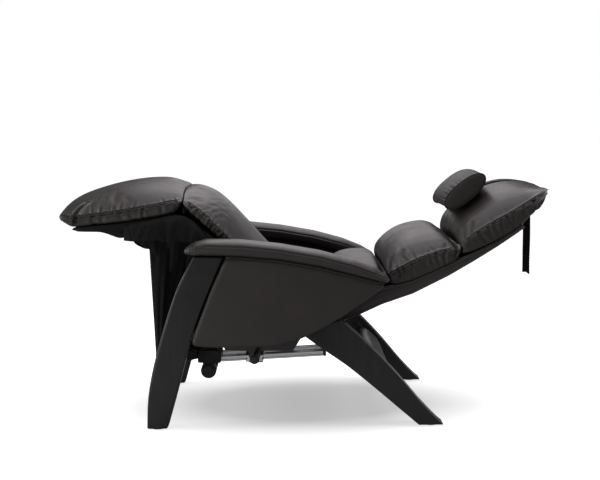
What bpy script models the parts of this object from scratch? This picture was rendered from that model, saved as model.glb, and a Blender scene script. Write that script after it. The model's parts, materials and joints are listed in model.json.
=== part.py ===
"""Powered zero-gravity recliner, modelled at its fully reclined position.

Metres, +Z up. X runs across the chair (+X is the sitter's left), the feet point to -Y and the
head to +Y. The origin is on the floor, under the middle of the chair.
"""

import math

import bmesh
import bpy
from mathutils import Matrix, Vector

# ---------------------------------------------------------------- driving dimensions (metres)
GAP = 0.0004                      # air between pieces that touch
FOOT = 0.0045                     # underside of the wooden legs, on top of their glides

TILT_AXIS = (0.010, 0.375)        # (y, z) of the seat's pivot in the base
KNEE_AXIS = (-0.390, 0.665)       # legrest hinge, on the seat
HIP_AXIS = (0.025, 0.335)         # back hinge, on the seat
TILT_RANGE = math.radians(35)     # reclined to upright
LEGREST_RANGE = math.radians(15)  # extra turn of the legrest against the seat
BACK_RANGE = math.radians(12)
BACK_LEVER = 0.060                # hip hinge to the back actuator's pin

LEG_IN, LEG_OUT = 0.314, 0.390    # x of a leg's inner and outer face
PANEL_IN, PANEL_OUT = 0.3715, 0.402
ARM_IN, ARM_OUT = 0.312, 0.420
PIVOT_PLATE = (0.3055, 0.3132)    # x span of the plate that ties the legs together
SIDE_PLATE = (0.262, 0.268)       # x span of the seat's side plate
LUG_PLATE = (0.2705, 0.2755)      # x span of the legrest's lug plates
LINK_BAR = (0.2790, 0.2850)       # x span of the legrest links

CUSHION_HALF = 0.285              # half width of the seat, back and legrest cushions
SEAM_HALF = 0.268                 # half width between their long seams
SHELL_HALF = 0.283
SHELL_WALL = 0.007

RAIL_X = 0.050                    # the two drive rails stand this far either side of the middle
RAIL_START = (-0.302, 0.1710)     # (y, z) of a rail's middle where it leaves its gearbox
RAIL_SLOPE = math.radians(2.5)
RAIL_LENGTH = 0.361
RAIL_SIZE = (0.034, 0.018)        # width, height
BAR_TRAVEL = 0.130                # travel of the push bar over the whole tilt
PUSH_BOLT = (-0.179, 0.2080)      # (y, z) of the push bar's end bolts when reclined

FRONT_LEG_FRONT = [(-0.532, FOOT), (-0.526, 0.110), (-0.504, 0.222), (-0.461, 0.367),
                   (-0.419, 0.481), (-0.367, 0.5745)]
FRONT_LEG_REAR = [(-0.270, 0.5705), (-0.296, 0.512), (-0.350, 0.385), (-0.388, 0.277),
                  (-0.427, 0.135), (-0.465, FOOT)]
REAR_LEG_UNDER = [(0.363, FOOT), (0.280, 0.077), (0.202, 0.145), (0.124, 0.209),
                  (0.046, 0.264), (-0.040, 0.330), (-0.105, 0.395)]
REAR_LEG_OVER = [(-0.060, 0.455), (0.040, 0.415), (0.112, 0.354), (0.171, 0.301),
                 (0.235, 0.237), (0.301, 0.165), (0.366, 0.085), (0.425, 0.021), (0.445, FOOT)]
PANEL_TOP = [(-0.262, 0.566), (-0.152, 0.560), (-0.023, 0.540), (0.107, 0.510), (0.230, 0.477)]
PANEL_TIP = [(0.247, 0.471), (0.251, 0.464), (0.244, 0.457)]
PANEL_UNDER = [(0.230, 0.449), (0.171, 0.409), (0.105, 0.364), (0.040, 0.327), (-0.026, 0.298),
               (-0.091, 0.281), (-0.156, 0.2745), (-0.287, 0.2740), (-0.352, 0.2775)]
PANEL_CORNER = [(-0.370, 0.2800), (-0.377, 0.2860), (-0.378, 0.2950)]
PANEL_FRONT = [(-0.364, 0.335), (-0.343, 0.387), (-0.316, 0.455), (-0.289, 0.514), (-0.269, 0.556)]

# (y, underside z, top z, half width) down the length of an arm pad
ARM_STATIONS = [(-0.398, 0.590, 0.604, 0.024), (-0.386, 0.583, 0.612, 0.038),
                (-0.362, 0.5775, 0.622, 0.049), (-0.325, 0.5755, 0.6285, 0.053),
                (-0.216, 0.571, 0.6255, 0.054), (-0.087, 0.5585, 0.610, 0.054),
                (0.042, 0.535, 0.586, 0.054), (0.150, 0.506, 0.556, 0.053),
                (0.222, 0.4855, 0.526, 0.050), (0.254, 0.478, 0.506, 0.042),
                (0.270, 0.480, 0.492, 0.026)]

# Cushion outlines at mid width: (y, z, drop), the drop being how far the point comes down towards
# the cushion's base by the time it reaches the long side seam.
CALF_OUTLINE = [(-0.817, 0.694, 0.000), (-0.821, 0.708, 0.004), (-0.806, 0.735, 0.022),
                (-0.766, 0.766, 0.052), (-0.700, 0.790, 0.072), (-0.620, 0.809, 0.080),
                (-0.540, 0.819, 0.080), (-0.470, 0.817, 0.074), (-0.431, 0.804, 0.062),
                (-0.417, 0.778, 0.042), (-0.416, 0.740, 0.006), (-0.430, 0.714, 0.000),
                (-0.480, 0.697, 0.000), (-0.605, 0.679, 0.000), (-0.706, 0.671, 0.000),
                (-0.780, 0.664, 0.000), (-0.806, 0.674, 0.000)]
THIGH_OUTLINE = [(-0.376, 0.700, 0.000), (-0.399, 0.732, 0.003), (-0.400, 0.770, 0.034),
                 (-0.376, 0.789, 0.066), (-0.330, 0.778, 0.086), (-0.290, 0.752, 0.092),
                 (-0.236, 0.694, 0.086), (-0.180, 0.624, 0.064), (-0.120, 0.556, 0.046),
                 (-0.056, 0.496, 0.030), (-0.008, 0.454, 0.014), (0.002, 0.430, 0.004),
                 (-0.014, 0.404, 0.000), (-0.120, 0.4835, 0.000), (-0.260, 0.5950, 0.000)]
LOWER_BACK_OUTLINE = [(0.046, 0.412, 0.000), (0.033, 0.434, 0.006), (0.044, 0.474, 0.030),
                      (0.076, 0.514, 0.056), (0.120, 0.542, 0.070), (0.172, 0.551, 0.074),
                      (0.214, 0.546, 0.066), (0.238, 0.530, 0.048), (0.252, 0.500, 0.020),
                      (0.270, 0.460, 0.000), (0.262, 0.450, 0.000), (0.200, 0.434, 0.000),
                      (0.130, 0.414, 0.000), (0.070, 0.400, 0.000)]
MID_BACK_OUTLINE = [(0.281, 0.456, 0.000), (0.266, 0.488, 0.004), (0.249, 0.528, 0.036),
                    (0.252, 0.562, 0.060), (0.285, 0.603, 0.080), (0.335, 0.634, 0.088),
                    (0.390, 0.648, 0.088), (0.440, 0.650, 0.080), (0.472, 0.642, 0.068),
                    (0.488, 0.614, 0.040), (0.504, 0.580, 0.008), (0.514, 0.546, 0.000),
                    (0.500, 0.532, 0.000), (0.447, 0.506, 0.000), (0.391, 0.483, 0.000),
                    (0.334, 0.463, 0.000)]
HEAD_OUTLINE = [(0.524, 0.553, 0.000), (0.512, 0.580, 0.006), (0.494, 0.622, 0.044),
                (0.497, 0.662, 0.070), (0.530, 0.707, 0.084), (0.585, 0.754, 0.092),
                (0.645, 0.788, 0.096), (0.702, 0.803, 0.094), (0.755, 0.796, 0.072),
                (0.798, 0.779, 0.034), (0.812, 0.764, 0.004), (0.806, 0.735, 0.000),
                (0.785, 0.706, 0.000), (0.752, 0.682, 0.000), (0.711, 0.640, 0.000),
                (0.617, 0.588, 0.000)]

# (y, z, depth) of the back shell's underside and how far its rim stands above it
SHELL_STATIONS = [(0.105, 0.327, 0.052), (0.173, 0.352, 0.062), (0.254, 0.388, 0.053),
                  (0.359, 0.423, 0.0420), (0.478, 0.481, 0.0340), (0.560, 0.528, 0.0250),
                  (0.640, 0.577, 0.0140), (0.700, 0.617, 0.0115), (0.735, 0.642, 0.0100)]

PILLOW_CENTRE = (0.5435, 0.7725)
PILLOW_SLOPE = math.radians(39)
PILLOW_HALF = (0.168, 0.082, 0.035)      # half width, half length, half thickness
STRAP_PATH = [(0.592, 0.7640), (0.645, 0.7945), (0.702, 0.8095), (0.757, 0.8050), (0.808, 0.7895),
              (0.838, 0.7670), (0.838, 0.7340), (0.820, 0.7030), (0.803, 0.6965)]
STRAP_HINGE = (0.791, 0.6930)
STRAP_TAIL = (0.034, 0.0024, 0.240)      # width, thickness, length


# ---------------------------------------------------------------- scene and helpers
def clear_scene():
    for obj in list(bpy.data.objects):
        bpy.data.objects.remove(obj)


def principled(name, colour, roughness, metallic=0.0):
    """A plain material of the part's own."""
    made = bpy.data.materials.new(name)
    made.use_nodes = True
    shader = made.node_tree.nodes["Principled BSDF"]
    shader.inputs["Base Color"].default_value = (*colour, 1.0)
    shader.inputs["Roughness"].default_value = roughness
    shader.inputs["Metallic"].default_value = metallic
    return made


FINISHES = {
    "leather": ((0.036, 0.029, 0.027), 0.42, 0.0),
    "wood": ((0.012, 0.012, 0.013), 0.38, 0.0),
    "black_steel": ((0.010, 0.010, 0.011), 0.45, 0.0),
    "aluminium": ((0.72, 0.73, 0.75), 0.30, 1.0),
    "plastic": ((0.013, 0.013, 0.014), 0.50, 0.0),
    "fabric": ((0.014, 0.014, 0.015), 0.90, 0.0),
    "board": ((0.035, 0.036, 0.038), 0.80, 0.0),
    "webbing": ((0.006, 0.006, 0.007), 0.80, 0.0),
    "steel": ((0.55, 0.55, 0.56), 0.35, 1.0),
}


def node(name, bm, finish, body):
    """A finished, named object from a bmesh in world coordinates, carried by its body's empty."""
    bmesh.ops.recalc_face_normals(bm, faces=bm.faces)
    if bm.calc_volume(signed=True) < 0:
        bmesh.ops.reverse_faces(bm, faces=bm.faces)
    mesh = bpy.data.meshes.new(name)
    bm.to_mesh(mesh)
    bm.free()
    mesh.shade_smooth()
    mesh.set_sharp_from_angle(angle=math.radians(35))
    mesh.materials.append(principled(name, *FINISHES[finish]))
    obj = bpy.data.objects.new(name, mesh)
    bpy.context.scene.collection.objects.link(obj)
    obj.parent = body
    obj.matrix_parent_inverse = Matrix.Translation(-body.location)
    return obj


def helper(name, bm):
    """A hidden shape that a Boolean uses."""
    obj = node(name, bm, "steel", BODIES["base"])
    obj.hide_render = True
    obj.display_type = "WIRE"
    return obj


def boolean(obj, operation, shapes):
    """Cuts the hidden shapes from obj, or joins them to it."""
    for count, bm in enumerate(shapes):
        other = helper(f"{obj.name}_{operation.lower()}_{count}", bm)
        other.parent = obj.parent
        other.matrix_parent_inverse = obj.matrix_parent_inverse.copy()
        modifier = obj.modifiers.new(other.name, "BOOLEAN")
        modifier.operation = operation
        modifier.object = other
    return obj


def bevel(obj, width, segments=2, angle=50):
    modifier = obj.modifiers.new("rounded edges", "BEVEL")
    modifier.width = width
    modifier.segments = segments
    modifier.limit_method = "ANGLE"
    modifier.angle_limit = math.radians(angle)
    return obj


def smooth(points, steps=3, closed=False):
    """Points along a Catmull-Rom curve through the given ones."""
    points = [Vector(p) for p in points]
    count = len(points)
    made = []
    for i in range(count if closed else count - 1):
        if closed:
            a, b, c, d = (points[(i + k) % count] for k in (-1, 0, 1, 2))
        else:
            b, c = points[i], points[i + 1]
            a = points[i - 1] if i else b * 2 - c
            d = points[i + 2] if i + 2 < count else c * 2 - b
        for k in range(steps):
            t = k / steps
            made.append(0.5 * (2 * b + (c - a) * t + (2 * a - 5 * b + 4 * c - d) * t * t
                               + (3 * b - a - 3 * c + d) * t ** 3))
    if not closed:
        made.append(points[-1])
    return [tuple(p) for p in made]


def turned(point, centre, angle):
    """A (y, z) point turned about a centre, positive from +Y towards +Z."""
    y, z = point[0] - centre[0], point[1] - centre[1]
    c, s = math.cos(angle), math.sin(angle)
    return (centre[0] + y * c - z * s, centre[1] + y * s + z * c)


def along(start, direction, distance, across=0.0):
    """A (y, z) point some way along a direction and off to its upper side."""
    return (start[0] + direction[0] * distance - direction[1] * across,
            start[1] + direction[1] * distance + direction[0] * across)


def unit(a, b):
    length = math.dist(a, b)
    return ((b[0] - a[0]) / length, (b[1] - a[1]) / length)


def loft(loops):
    """A closed solid through equal rings of 3-D points, with flat ends."""
    bm = bmesh.new()
    rings = [[bm.verts.new(p) for p in loop] for loop in loops]
    count = len(rings[0])
    for a, b in zip(rings, rings[1:]):
        for i in range(count):
            j = (i + 1) % count
            bm.faces.new((a[i], a[j], b[j], b[i]))
    bm.faces.new(rings[0])
    bm.faces.new(rings[-1][::-1])
    return bm


def slab(outline, x0, x1):
    """A (y, z) outline extruded across the chair."""
    return loft([[(x, y, z) for y, z in outline] for x in (x0, x1)])


def box(x0, x1, y0, y1, z0, z1):
    return slab([(y0, z0), (y1, z0), (y1, z1), (y0, z1)], x0, x1)


def rod_x(centre, radius, x0, x1, sides=20):
    """A round bar across the chair."""
    ring = [(centre[0] + radius * math.cos(math.tau * k / sides),
             centre[1] + radius * math.sin(math.tau * k / sides)) for k in range(sides)]
    return slab(ring, x0, x1)


def turned_x(centre, profile, sides=20):
    """A solid turned about a line across the chair, from (x, radius) pairs."""
    loops = []
    for x, radius in profile:
        loops.append([(x, centre[0] + radius * math.cos(math.tau * k / sides),
                       centre[1] + radius * math.sin(math.tau * k / sides)) for k in range(sides)])
    return loft(loops)


def bar(start, end, width, height, x):
    """A rectangular bar between two (y, z) points, centred on x."""
    d = unit(start, end)
    length = math.dist(start, end)
    outline = [along(start, d, 0, -height / 2), along(start, d, length, -height / 2),
               along(start, d, length, height / 2), along(start, d, 0, height / 2)]
    return slab(outline, x - width / 2, x + width / 2)


def round_bar(start, end, radius, x, sides=16):
    """A round bar between two (y, z) points at one x."""
    d = unit(start, end)
    loops = []
    for y, z in (start, end):
        ring = []
        for k in range(sides):
            u = radius * math.cos(math.tau * k / sides)
            v = radius * math.sin(math.tau * k / sides)
            ring.append((x + u, y - d[1] * v, z + d[0] * v))
        loops.append(ring)
    return loft(loops)


def stadium(points, radius, steps=6):
    """The outline of a strip of one width, with round ends, around a (y, z) path."""
    left, right = [], []
    last = len(points) - 1
    for i, p in enumerate(points):
        d = unit(points[max(i - 1, 0)], points[min(i + 1, last)])
        left.append(along(p, d, 0, radius))
        right.append(along(p, d, 0, -radius))

    def end(p, d):
        turn = math.atan2(d[1], d[0])
        angles = [turn + math.pi / 2 - math.pi * k / steps for k in range(1, steps)]
        return [(p[0] + radius * math.cos(a), p[1] + radius * math.sin(a)) for a in angles]

    ahead = end(points[-1], unit(points[-2], points[-1]))
    back = end(points[0], unit(points[1], points[0]))
    return left + ahead + right[::-1] + back


def body(name, y=0.0, z=0.0):
    """The empty that carries one rigid body, standing on its joint's axis."""
    empty = bpy.data.objects.new(name, None)
    empty.location = (0, y, z)
    bpy.context.scene.collection.objects.link(empty)
    return empty


def sides():
    """Each side's name and the sign of its x."""
    return (("left", 1), ("right", -1))


def span(sign, pair):
    """An x span on the named side, in rising order."""
    return tuple(sorted(sign * x for x in pair))


# ---------------------------------------------------------------- worked-out geometry
SEAT_DIR = unit(KNEE_AXIS, HIP_AXIS)
SEAT_LENGTH = math.dist(KNEE_AXIS, HIP_AXIS)
LEGREST_RATIO = LEGREST_RANGE / TILT_RANGE
LINK_LUG = (KNEE_AXIS[0] + 0.074, KNEE_AXIS[1] - 0.088)
RAIL_DIR = (math.cos(RAIL_SLOPE), math.sin(RAIL_SLOPE))


def lug_at(tilt):
    """Where the legrest's lug is in the base's frame when the seat has tilted this far."""
    knee = turned(KNEE_AXIS, TILT_AXIS, tilt)
    offset = (LINK_LUG[0] - KNEE_AXIS[0], LINK_LUG[1] - KNEE_AXIS[1])
    turned_offset = turned(offset, (0, 0), tilt * (1 + LEGREST_RATIO))
    return (knee[0] + turned_offset[0], knee[1] + turned_offset[1])


def link_pivot():
    """The base pivot that is as far from the legrest's lug reclined, half way and upright."""
    (ay, az), (by, bz), (cy, cz) = (lug_at(TILT_RANGE * k / 2) for k in range(3))
    p, q = 2 * (by - ay), 2 * (bz - az)
    r, s = 2 * (cy - ay), 2 * (cz - az)
    u = by ** 2 + bz ** 2 - ay ** 2 - az ** 2
    v = cy ** 2 + cz ** 2 - ay ** 2 - az ** 2
    det = p * s - q * r
    return ((u * s - q * v) / det, (p * v - u * r) / det)


def slot_path(steps=8):
    """The push bolt's path as the seat's side plate sees it: the cam slot's centre line."""
    path = []
    for k in range(steps + 1):
        share = k / steps
        bolt = along(PUSH_BOLT, RAIL_DIR, BAR_TRAVEL * share)
        path.append(turned(bolt, TILT_AXIS, -TILT_RANGE * share))
    return path


LINK_PIVOT = link_pivot()
BACK_PIN = turned((HIP_AXIS[0] + BACK_LEVER, HIP_AXIS[1]), HIP_AXIS,
                  math.atan2(SEAT_DIR[1], SEAT_DIR[0]) - math.pi / 2 - BACK_RANGE / 2)
BACK_DRIVE_START = along(BACK_PIN, SEAT_DIR, -0.395)

clear_scene()
BODIES = {
    "base": body("base"),
    "push_bar_body": body("push_bar_body", *PUSH_BOLT),
    "seat": body("seat", *TILT_AXIS),
    "legrest": body("legrest", *KNEE_AXIS),
    "legrest_links": body("legrest_links", *LINK_PIVOT),
    "back": body("back", *HIP_AXIS),
    "back_rod_body": body("back_rod_body", *BACK_PIN),
    "pillow": body("pillow", *PILLOW_CENTRE),
    "strap_end": body("strap_end", *STRAP_HINGE),
}
BASE, SEAT, BACK = BODIES["base"], BODIES["seat"], BODIES["back"]


# ---------------------------------------------------------------- base
def panel_outline(grow=0.0):
    """The side panel's outline, grown outwards by a little where something is cut to fit it."""
    outline = (smooth(PANEL_TOP, 2) + PANEL_TIP + smooth(PANEL_UNDER, 2) + PANEL_CORNER
               + smooth(PANEL_FRONT, 2))
    if not grow:
        return outline
    grown = []
    for i, p in enumerate(outline):
        d = unit(outline[i - 1], outline[(i + 1) % len(outline)])
        grown.append(along(p, d, 0, grow))
    return grown


def make_legs():
    front = smooth(FRONT_LEG_FRONT) + smooth(FRONT_LEG_REAR)
    rear = smooth(REAR_LEG_UNDER, 2) + smooth(REAR_LEG_OVER, 2)
    for side, sign in sides():
        leg = node(f"{side}_front_leg", slab(front, *span(sign, (LEG_IN, LEG_OUT))), "wood", BASE)
        bevel(leg, 0.006)
        leg = node(f"{side}_rear_leg", slab(rear, *span(sign, (LEG_IN, LEG_OUT))), "wood", BASE)
        bevel(leg, 0.006)
        rebate = slab(panel_outline(0.0012), *span(sign, (PANEL_IN - 0.001, LEG_OUT + 0.02)))
        boolean(leg, "DIFFERENCE", [rebate])
        for end, y in (("front", -0.4985), ("rear", 0.404)):
            bm = bmesh.new()
            place = Matrix.Translation((sign * 0.352, y, (FOOT - GAP) / 2))
            bmesh.ops.create_cone(bm, cap_ends=True, segments=24, radius1=0.023, radius2=0.026,
                                  depth=FOOT - GAP, matrix=place)
            node(f"{side}_{end}_glide", bm, "plastic", BASE)


def make_panels_and_arms():
    for side, sign in sides():
        panel = slab(panel_outline(), *span(sign, (PANEL_IN, PANEL_OUT)))
        bevel(node(f"{side}_side_panel", panel, "leather", BASE), 0.006, angle=40)
        loops = []
        middle = sign * (ARM_IN + ARM_OUT) / 2
        stations = smooth([(y, low, high) for y, low, high, _ in ARM_STATIONS], 1)
        for (y, low, high), (*_, half) in zip(stations, ARM_STATIONS):
            loops.append(arm_section(middle, half, y, low, high))
        node(f"{side}_arm_pad", loft(loops), "leather", BASE)


def arm_section(middle, half, y, low, high, points=14):
    """A padded section: flat below, rounded above, widest at its seam."""
    ring = []
    centre, tall = (low + high) / 2, (high - low) / 2
    for k in range(points):
        angle = math.tau * k / points
        c, s = math.cos(angle), math.sin(angle)
        power = 0.45 if s < 0 else 0.75
        ring.append((middle + half * math.copysign(abs(c) ** power, c), y,
                     centre + tall * math.copysign(abs(s) ** power, s)))
    return ring


def make_base_frame():
    inner = PIVOT_PLATE[0] + 0.008
    rail = node("front_cross_rail", box(-inner, inner, -0.495, -0.430, 0.160, 0.225), "wood", BASE)
    bevel(rail, 0.004)
    beam_end = PIVOT_PLATE[0] + 0.003
    centre, slant = (0.238, 0.168), (math.cos(math.radians(-46)), math.sin(math.radians(-46)))
    section = stadium([along(centre, slant, -0.022), along(centre, slant, 0.022)], 0.031, 8)
    node("rear_cross_beam", slab(section, -beam_end, beam_end), "leather", BASE)
    for side, sign in sides():
        plate = bar(along(centre, slant, -0.068), along(centre, slant, 0.068), 0.004, 0.044,
                    sign * (beam_end + 0.0024))
        bevel(node(f"{side}_beam_plate", plate, "black_steel", BASE), 0.001, 1)


def make_pivot_plates():
    outline = [(-0.395, 0.330), (-0.330, 0.520), (-0.285, 0.535), (-0.060, 0.438), (0.055, 0.408),
               (0.072, 0.375), (0.050, 0.335), (-0.020, 0.318), (-0.180, 0.345), (-0.360, 0.300)]
    for side, sign in sides():
        plate = node(f"{side}_pivot_plate", slab(outline, *span(sign, PIVOT_PLATE)), "black_steel",
                     BASE)
        pins = [turned_x(TILT_AXIS, [(sign * 0.3100, 0.0100), (sign * 0.2690, 0.0100)]),
                turned_x(LINK_PIVOT, [(sign * 0.3100, 0.0060), (sign * 0.2768, 0.0060)], 16)]
        boolean(plate, "UNION", pins)
        pin = [(sign * 0.2688, 0.0100), (sign * 0.2614, 0.0100), (sign * 0.2612, 0.0150),
               (sign * 0.2570, 0.0150)]
        node(f"{side}_tilt_pin", turned_x(TILT_AXIS, pin), "steel", BASE)


def make_tilt_drives():
    """Two geared motors on a bracket, each with a slotted rail that runs back under the seat."""
    box_end = RAIL_START[0]
    for side, sign in sides():
        x = sign * RAIL_X
        rail_end = along(RAIL_START, RAIL_DIR, RAIL_LENGTH)
        rail = node(f"{side}_drive_rail", bar(RAIL_START, rail_end, *RAIL_SIZE, x), "aluminium",
                    BASE)
        grooves = [bar(along(RAIL_START, RAIL_DIR, -0.01, up), along(rail_end, RAIL_DIR, 0.01, up),
                       0.006, 0.006, x + out)
                   for out, up in ((0.017, 0.0), (-0.017, 0.0), (0.0, RAIL_SIZE[1] / 2))]
        boolean(rail, "DIFFERENCE", grooves)
        cap = bar(along(rail_end, RAIL_DIR, GAP), along(rail_end, RAIL_DIR, 0.011), 0.036, 0.020, x)
        bevel(node(f"{side}_rail_cap", cap, "plastic", BASE), 0.002)
        gearbox = slab([(-0.384, 0.162), (-0.330, 0.1605), (box_end - GAP, 0.1605),
                        (box_end - GAP, 0.196), (-0.316, 0.208), (-0.384, 0.208)],
                       x - 0.034, x + 0.034)
        bevel(node(f"{side}_gearbox", gearbox, "plastic", BASE), 0.004)
        motor = [(x - 0.033, 0.024), (x - 0.030, 0.0275), (x + 0.026, 0.0275), (x + 0.0262, 0.021),
                 (x + 0.033, 0.020)]
        node(f"{side}_motor", turned_x((-0.347, 0.1325), motor, 24), "black_steel", BASE)
        bracket = slab([(-0.4296, 0.168), (-0.4296, 0.206), (-0.412, 0.206), (-0.3845, 0.194),
                        (-0.3845, 0.174), (-0.412, 0.168)], x - 0.018, x + 0.018)
        bevel(node(f"{side}_drive_bracket", bracket, "black_steel", BASE), 0.003)


def make_control_box():
    case = box(-0.245, -0.125, -0.4296, -0.348, 0.164, 0.206)
    bevel(node("control_box", case, "plastic", BASE), 0.004)
    inlet = box(-0.206, -0.178, -0.3476, -0.3400, 0.173, 0.193)
    node("power_inlet", inlet, "plastic", BASE)


def make_curtain():
    outline = [(-0.5265, 0.640), (-0.5215, 0.640), (-0.5025, 0.206), (-0.5075, 0.206)]
    node("front_curtain", slab(outline, -0.265, 0.265), "fabric", BASE)


# ---------------------------------------------------------------- push bar
def make_push_bar():
    """A slotted aluminium bar across both rails, carried on blocks that the drives move."""
    carrier = BODIES["push_bar_body"]
    half_wide, half_tall = 0.0300, 0.0110
    y, z = PUSH_BOLT
    across = node("push_bar", box(-0.2495, 0.2495, y - half_wide, y + half_wide,
                                  z - half_tall, z + half_tall), "aluminium", carrier)
    grooves = [box(-0.26, 0.26, y + side * half_wide - 0.005, y + side * half_wide + 0.005,
                   z - 0.0035, z + 0.0035) for side in (1, -1)]
    grooves += [box(-0.26, 0.26, y + side * 0.015 - 0.0035, y + side * 0.015 + 0.0035,
                    z + half_tall - 0.005, z + half_tall + 0.005) for side in (1, -1)]
    boolean(across, "DIFFERENCE", grooves)
    for side, sign in sides():
        x = sign * RAIL_X
        on_rail = along(RAIL_START, RAIL_DIR, y - RAIL_START[0])
        block = box(x - 0.024, x + 0.024, y - 0.026, y + 0.026, on_rail[1] - 0.018,
                    z - half_tall - GAP)
        block = node(f"{side}_carriage", block, "plastic", carrier)
        bevel(block, 0.002, 1)
        tunnel = bar(along(on_rail, RAIL_DIR, -0.05), along(on_rail, RAIL_DIR, 0.05),
                     RAIL_SIZE[0] + 0.002, RAIL_SIZE[1] + 0.002, x)
        mouth = box(x - 0.010, x + 0.010, y - 0.05, y + 0.05, on_rail[1] - 0.030, on_rail[1])
        boolean(block, "DIFFERENCE", [tunnel, mouth])
        bolt = [(sign * 0.2499, 0.0060), (sign * 0.2690, 0.0060), (sign * 0.2692, 0.0110),
                (sign * 0.2760, 0.0105)]
        node(f"{side}_push_bolt", turned_x(PUSH_BOLT, bolt, 16), "black_steel", carrier)


# ---------------------------------------------------------------- seat
def on_seat(distance, across=0.0):
    """A point measured from the knee hinge towards the hip hinge, and square to that line."""
    return along(KNEE_AXIS, SEAT_DIR, distance, across)


def make_side_plates():
    """Plates that carry the knee, hip and tilt pivots, with the push bolt's slot in a low lug."""
    slot = slot_path()
    lug = [turned((PUSH_BOLT[0] + 0.017, PUSH_BOLT[1]), PUSH_BOLT, math.radians(a))
           for a in (160, 195, 230, 270, 310, 345)]
    knee = [turned((KNEE_AXIS[0] + 0.022, KNEE_AXIS[1]), KNEE_AXIS, math.radians(a))
            for a in (50, 85, 120, 155, 190, 225)]
    hip = [turned((HIP_AXIS[0] + 0.024, HIP_AXIS[1]), HIP_AXIS, math.radians(a))
           for a in (270, 310, 350, 30)]
    outline = (knee + [on_seat(0.06, -0.020), (-0.345, 0.480), (-0.305, 0.300), (-0.276, 0.240)]
               + [(-0.200, 0.238)] + lug + [(-0.158, 0.237), (-0.048, 0.236), (-0.020, 0.280)]
               + hip + [(0.034, 0.385), (0.012, 0.396), on_seat(0.44, 0.016), on_seat(0.05, 0.016)])
    for side, sign in sides():
        plate = node(f"{side}_side_plate", slab(outline, *span(sign, SIDE_PLATE)), "black_steel",
                     SEAT)
        through = span(sign, (SIDE_PLATE[0] - 0.01, SIDE_PLATE[1] + 0.01))
        holes = [rod_x(TILT_AXIS, 0.0108, *through), rod_x(KNEE_AXIS, 0.0088, *through),
                 rod_x(HIP_AXIS, 0.0098, *through), slab(stadium(slot, 0.0072), *through)]
        boolean(plate, "DIFFERENCE", holes)


def make_seat_frame():
    rail_x = SIDE_PLATE[0] - 0.0130
    frame = node("seat_frame", bar(on_seat(0.050), on_seat(0.448), 0.0250, 0.025, rail_x),
                 "black_steel", SEAT)
    cross = [bar(on_seat(0.050), on_seat(0.448), 0.0250, 0.025, -rail_x)]
    for distance in (0.066, 0.250, 0.432):
        cross.append(bar(on_seat(distance - 0.011), on_seat(distance + 0.011), 0.500, 0.020, 0.0))
    mount = along(BACK_DRIVE_START, SEAT_DIR, -0.006)
    cross.append(slab([on_seat(0.058, 0.0), on_seat(0.078, 0.0), along(mount, SEAT_DIR, 0.010),
                       along(mount, SEAT_DIR, -0.010)], -0.012, 0.012))
    boolean(frame, "UNION", cross)
    deck = [on_seat(0.015, 0.0135), on_seat(0.452, 0.0135), on_seat(0.452, 0.0235),
            on_seat(0.015, 0.0235)]
    bevel(node("seat_deck", slab(deck, -0.2600, 0.2600), "board", SEAT), 0.002, 1)


def make_back_drive():
    """The actuator that raises the back: a geared motor and tube on the seat, and its rod."""
    start = BACK_DRIVE_START
    tube_end = along(start, SEAT_DIR, 0.275)
    case = [along(start, SEAT_DIR, 0.0065, -0.024), along(start, SEAT_DIR, 0.075, -0.024),
            along(start, SEAT_DIR, 0.090, -0.018), along(start, SEAT_DIR, 0.090, 0.018),
            along(start, SEAT_DIR, 0.0065, 0.018)]
    gearbox = node("back_drive_gearbox", slab(case, -0.030, 0.030), "plastic", SEAT)
    bevel(gearbox, 0.004)
    motor = [(0.0304, 0.026), (0.100, 0.026), (0.104, 0.020)]
    node("back_drive_motor", turned_x(along(start, SEAT_DIR, 0.046), motor, 20), "black_steel",
         SEAT)
    tube = node("back_drive_tube", round_bar(along(start, SEAT_DIR, 0.0904), tube_end, 0.0150, 0.0),
                "aluminium", SEAT)
    bore_start = along(start, SEAT_DIR, 0.120)
    boolean(tube, "DIFFERENCE", [round_bar(bore_start, along(tube_end, SEAT_DIR, 0.02), 0.0110,
                                           0.0)])
    rod = node("back_drive_rod", round_bar(along(start, SEAT_DIR, 0.140),
                                           along(BACK_PIN, SEAT_DIR, -0.006), 0.0070, 0.0),
               "steel", BODIES["back_rod_body"])
    boolean(rod, "UNION", [rod_x(BACK_PIN, 0.0130, -0.0068, 0.0068)])
    boolean(rod, "DIFFERENCE", [rod_x(BACK_PIN, 0.0062, -0.02, 0.02)])


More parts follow.
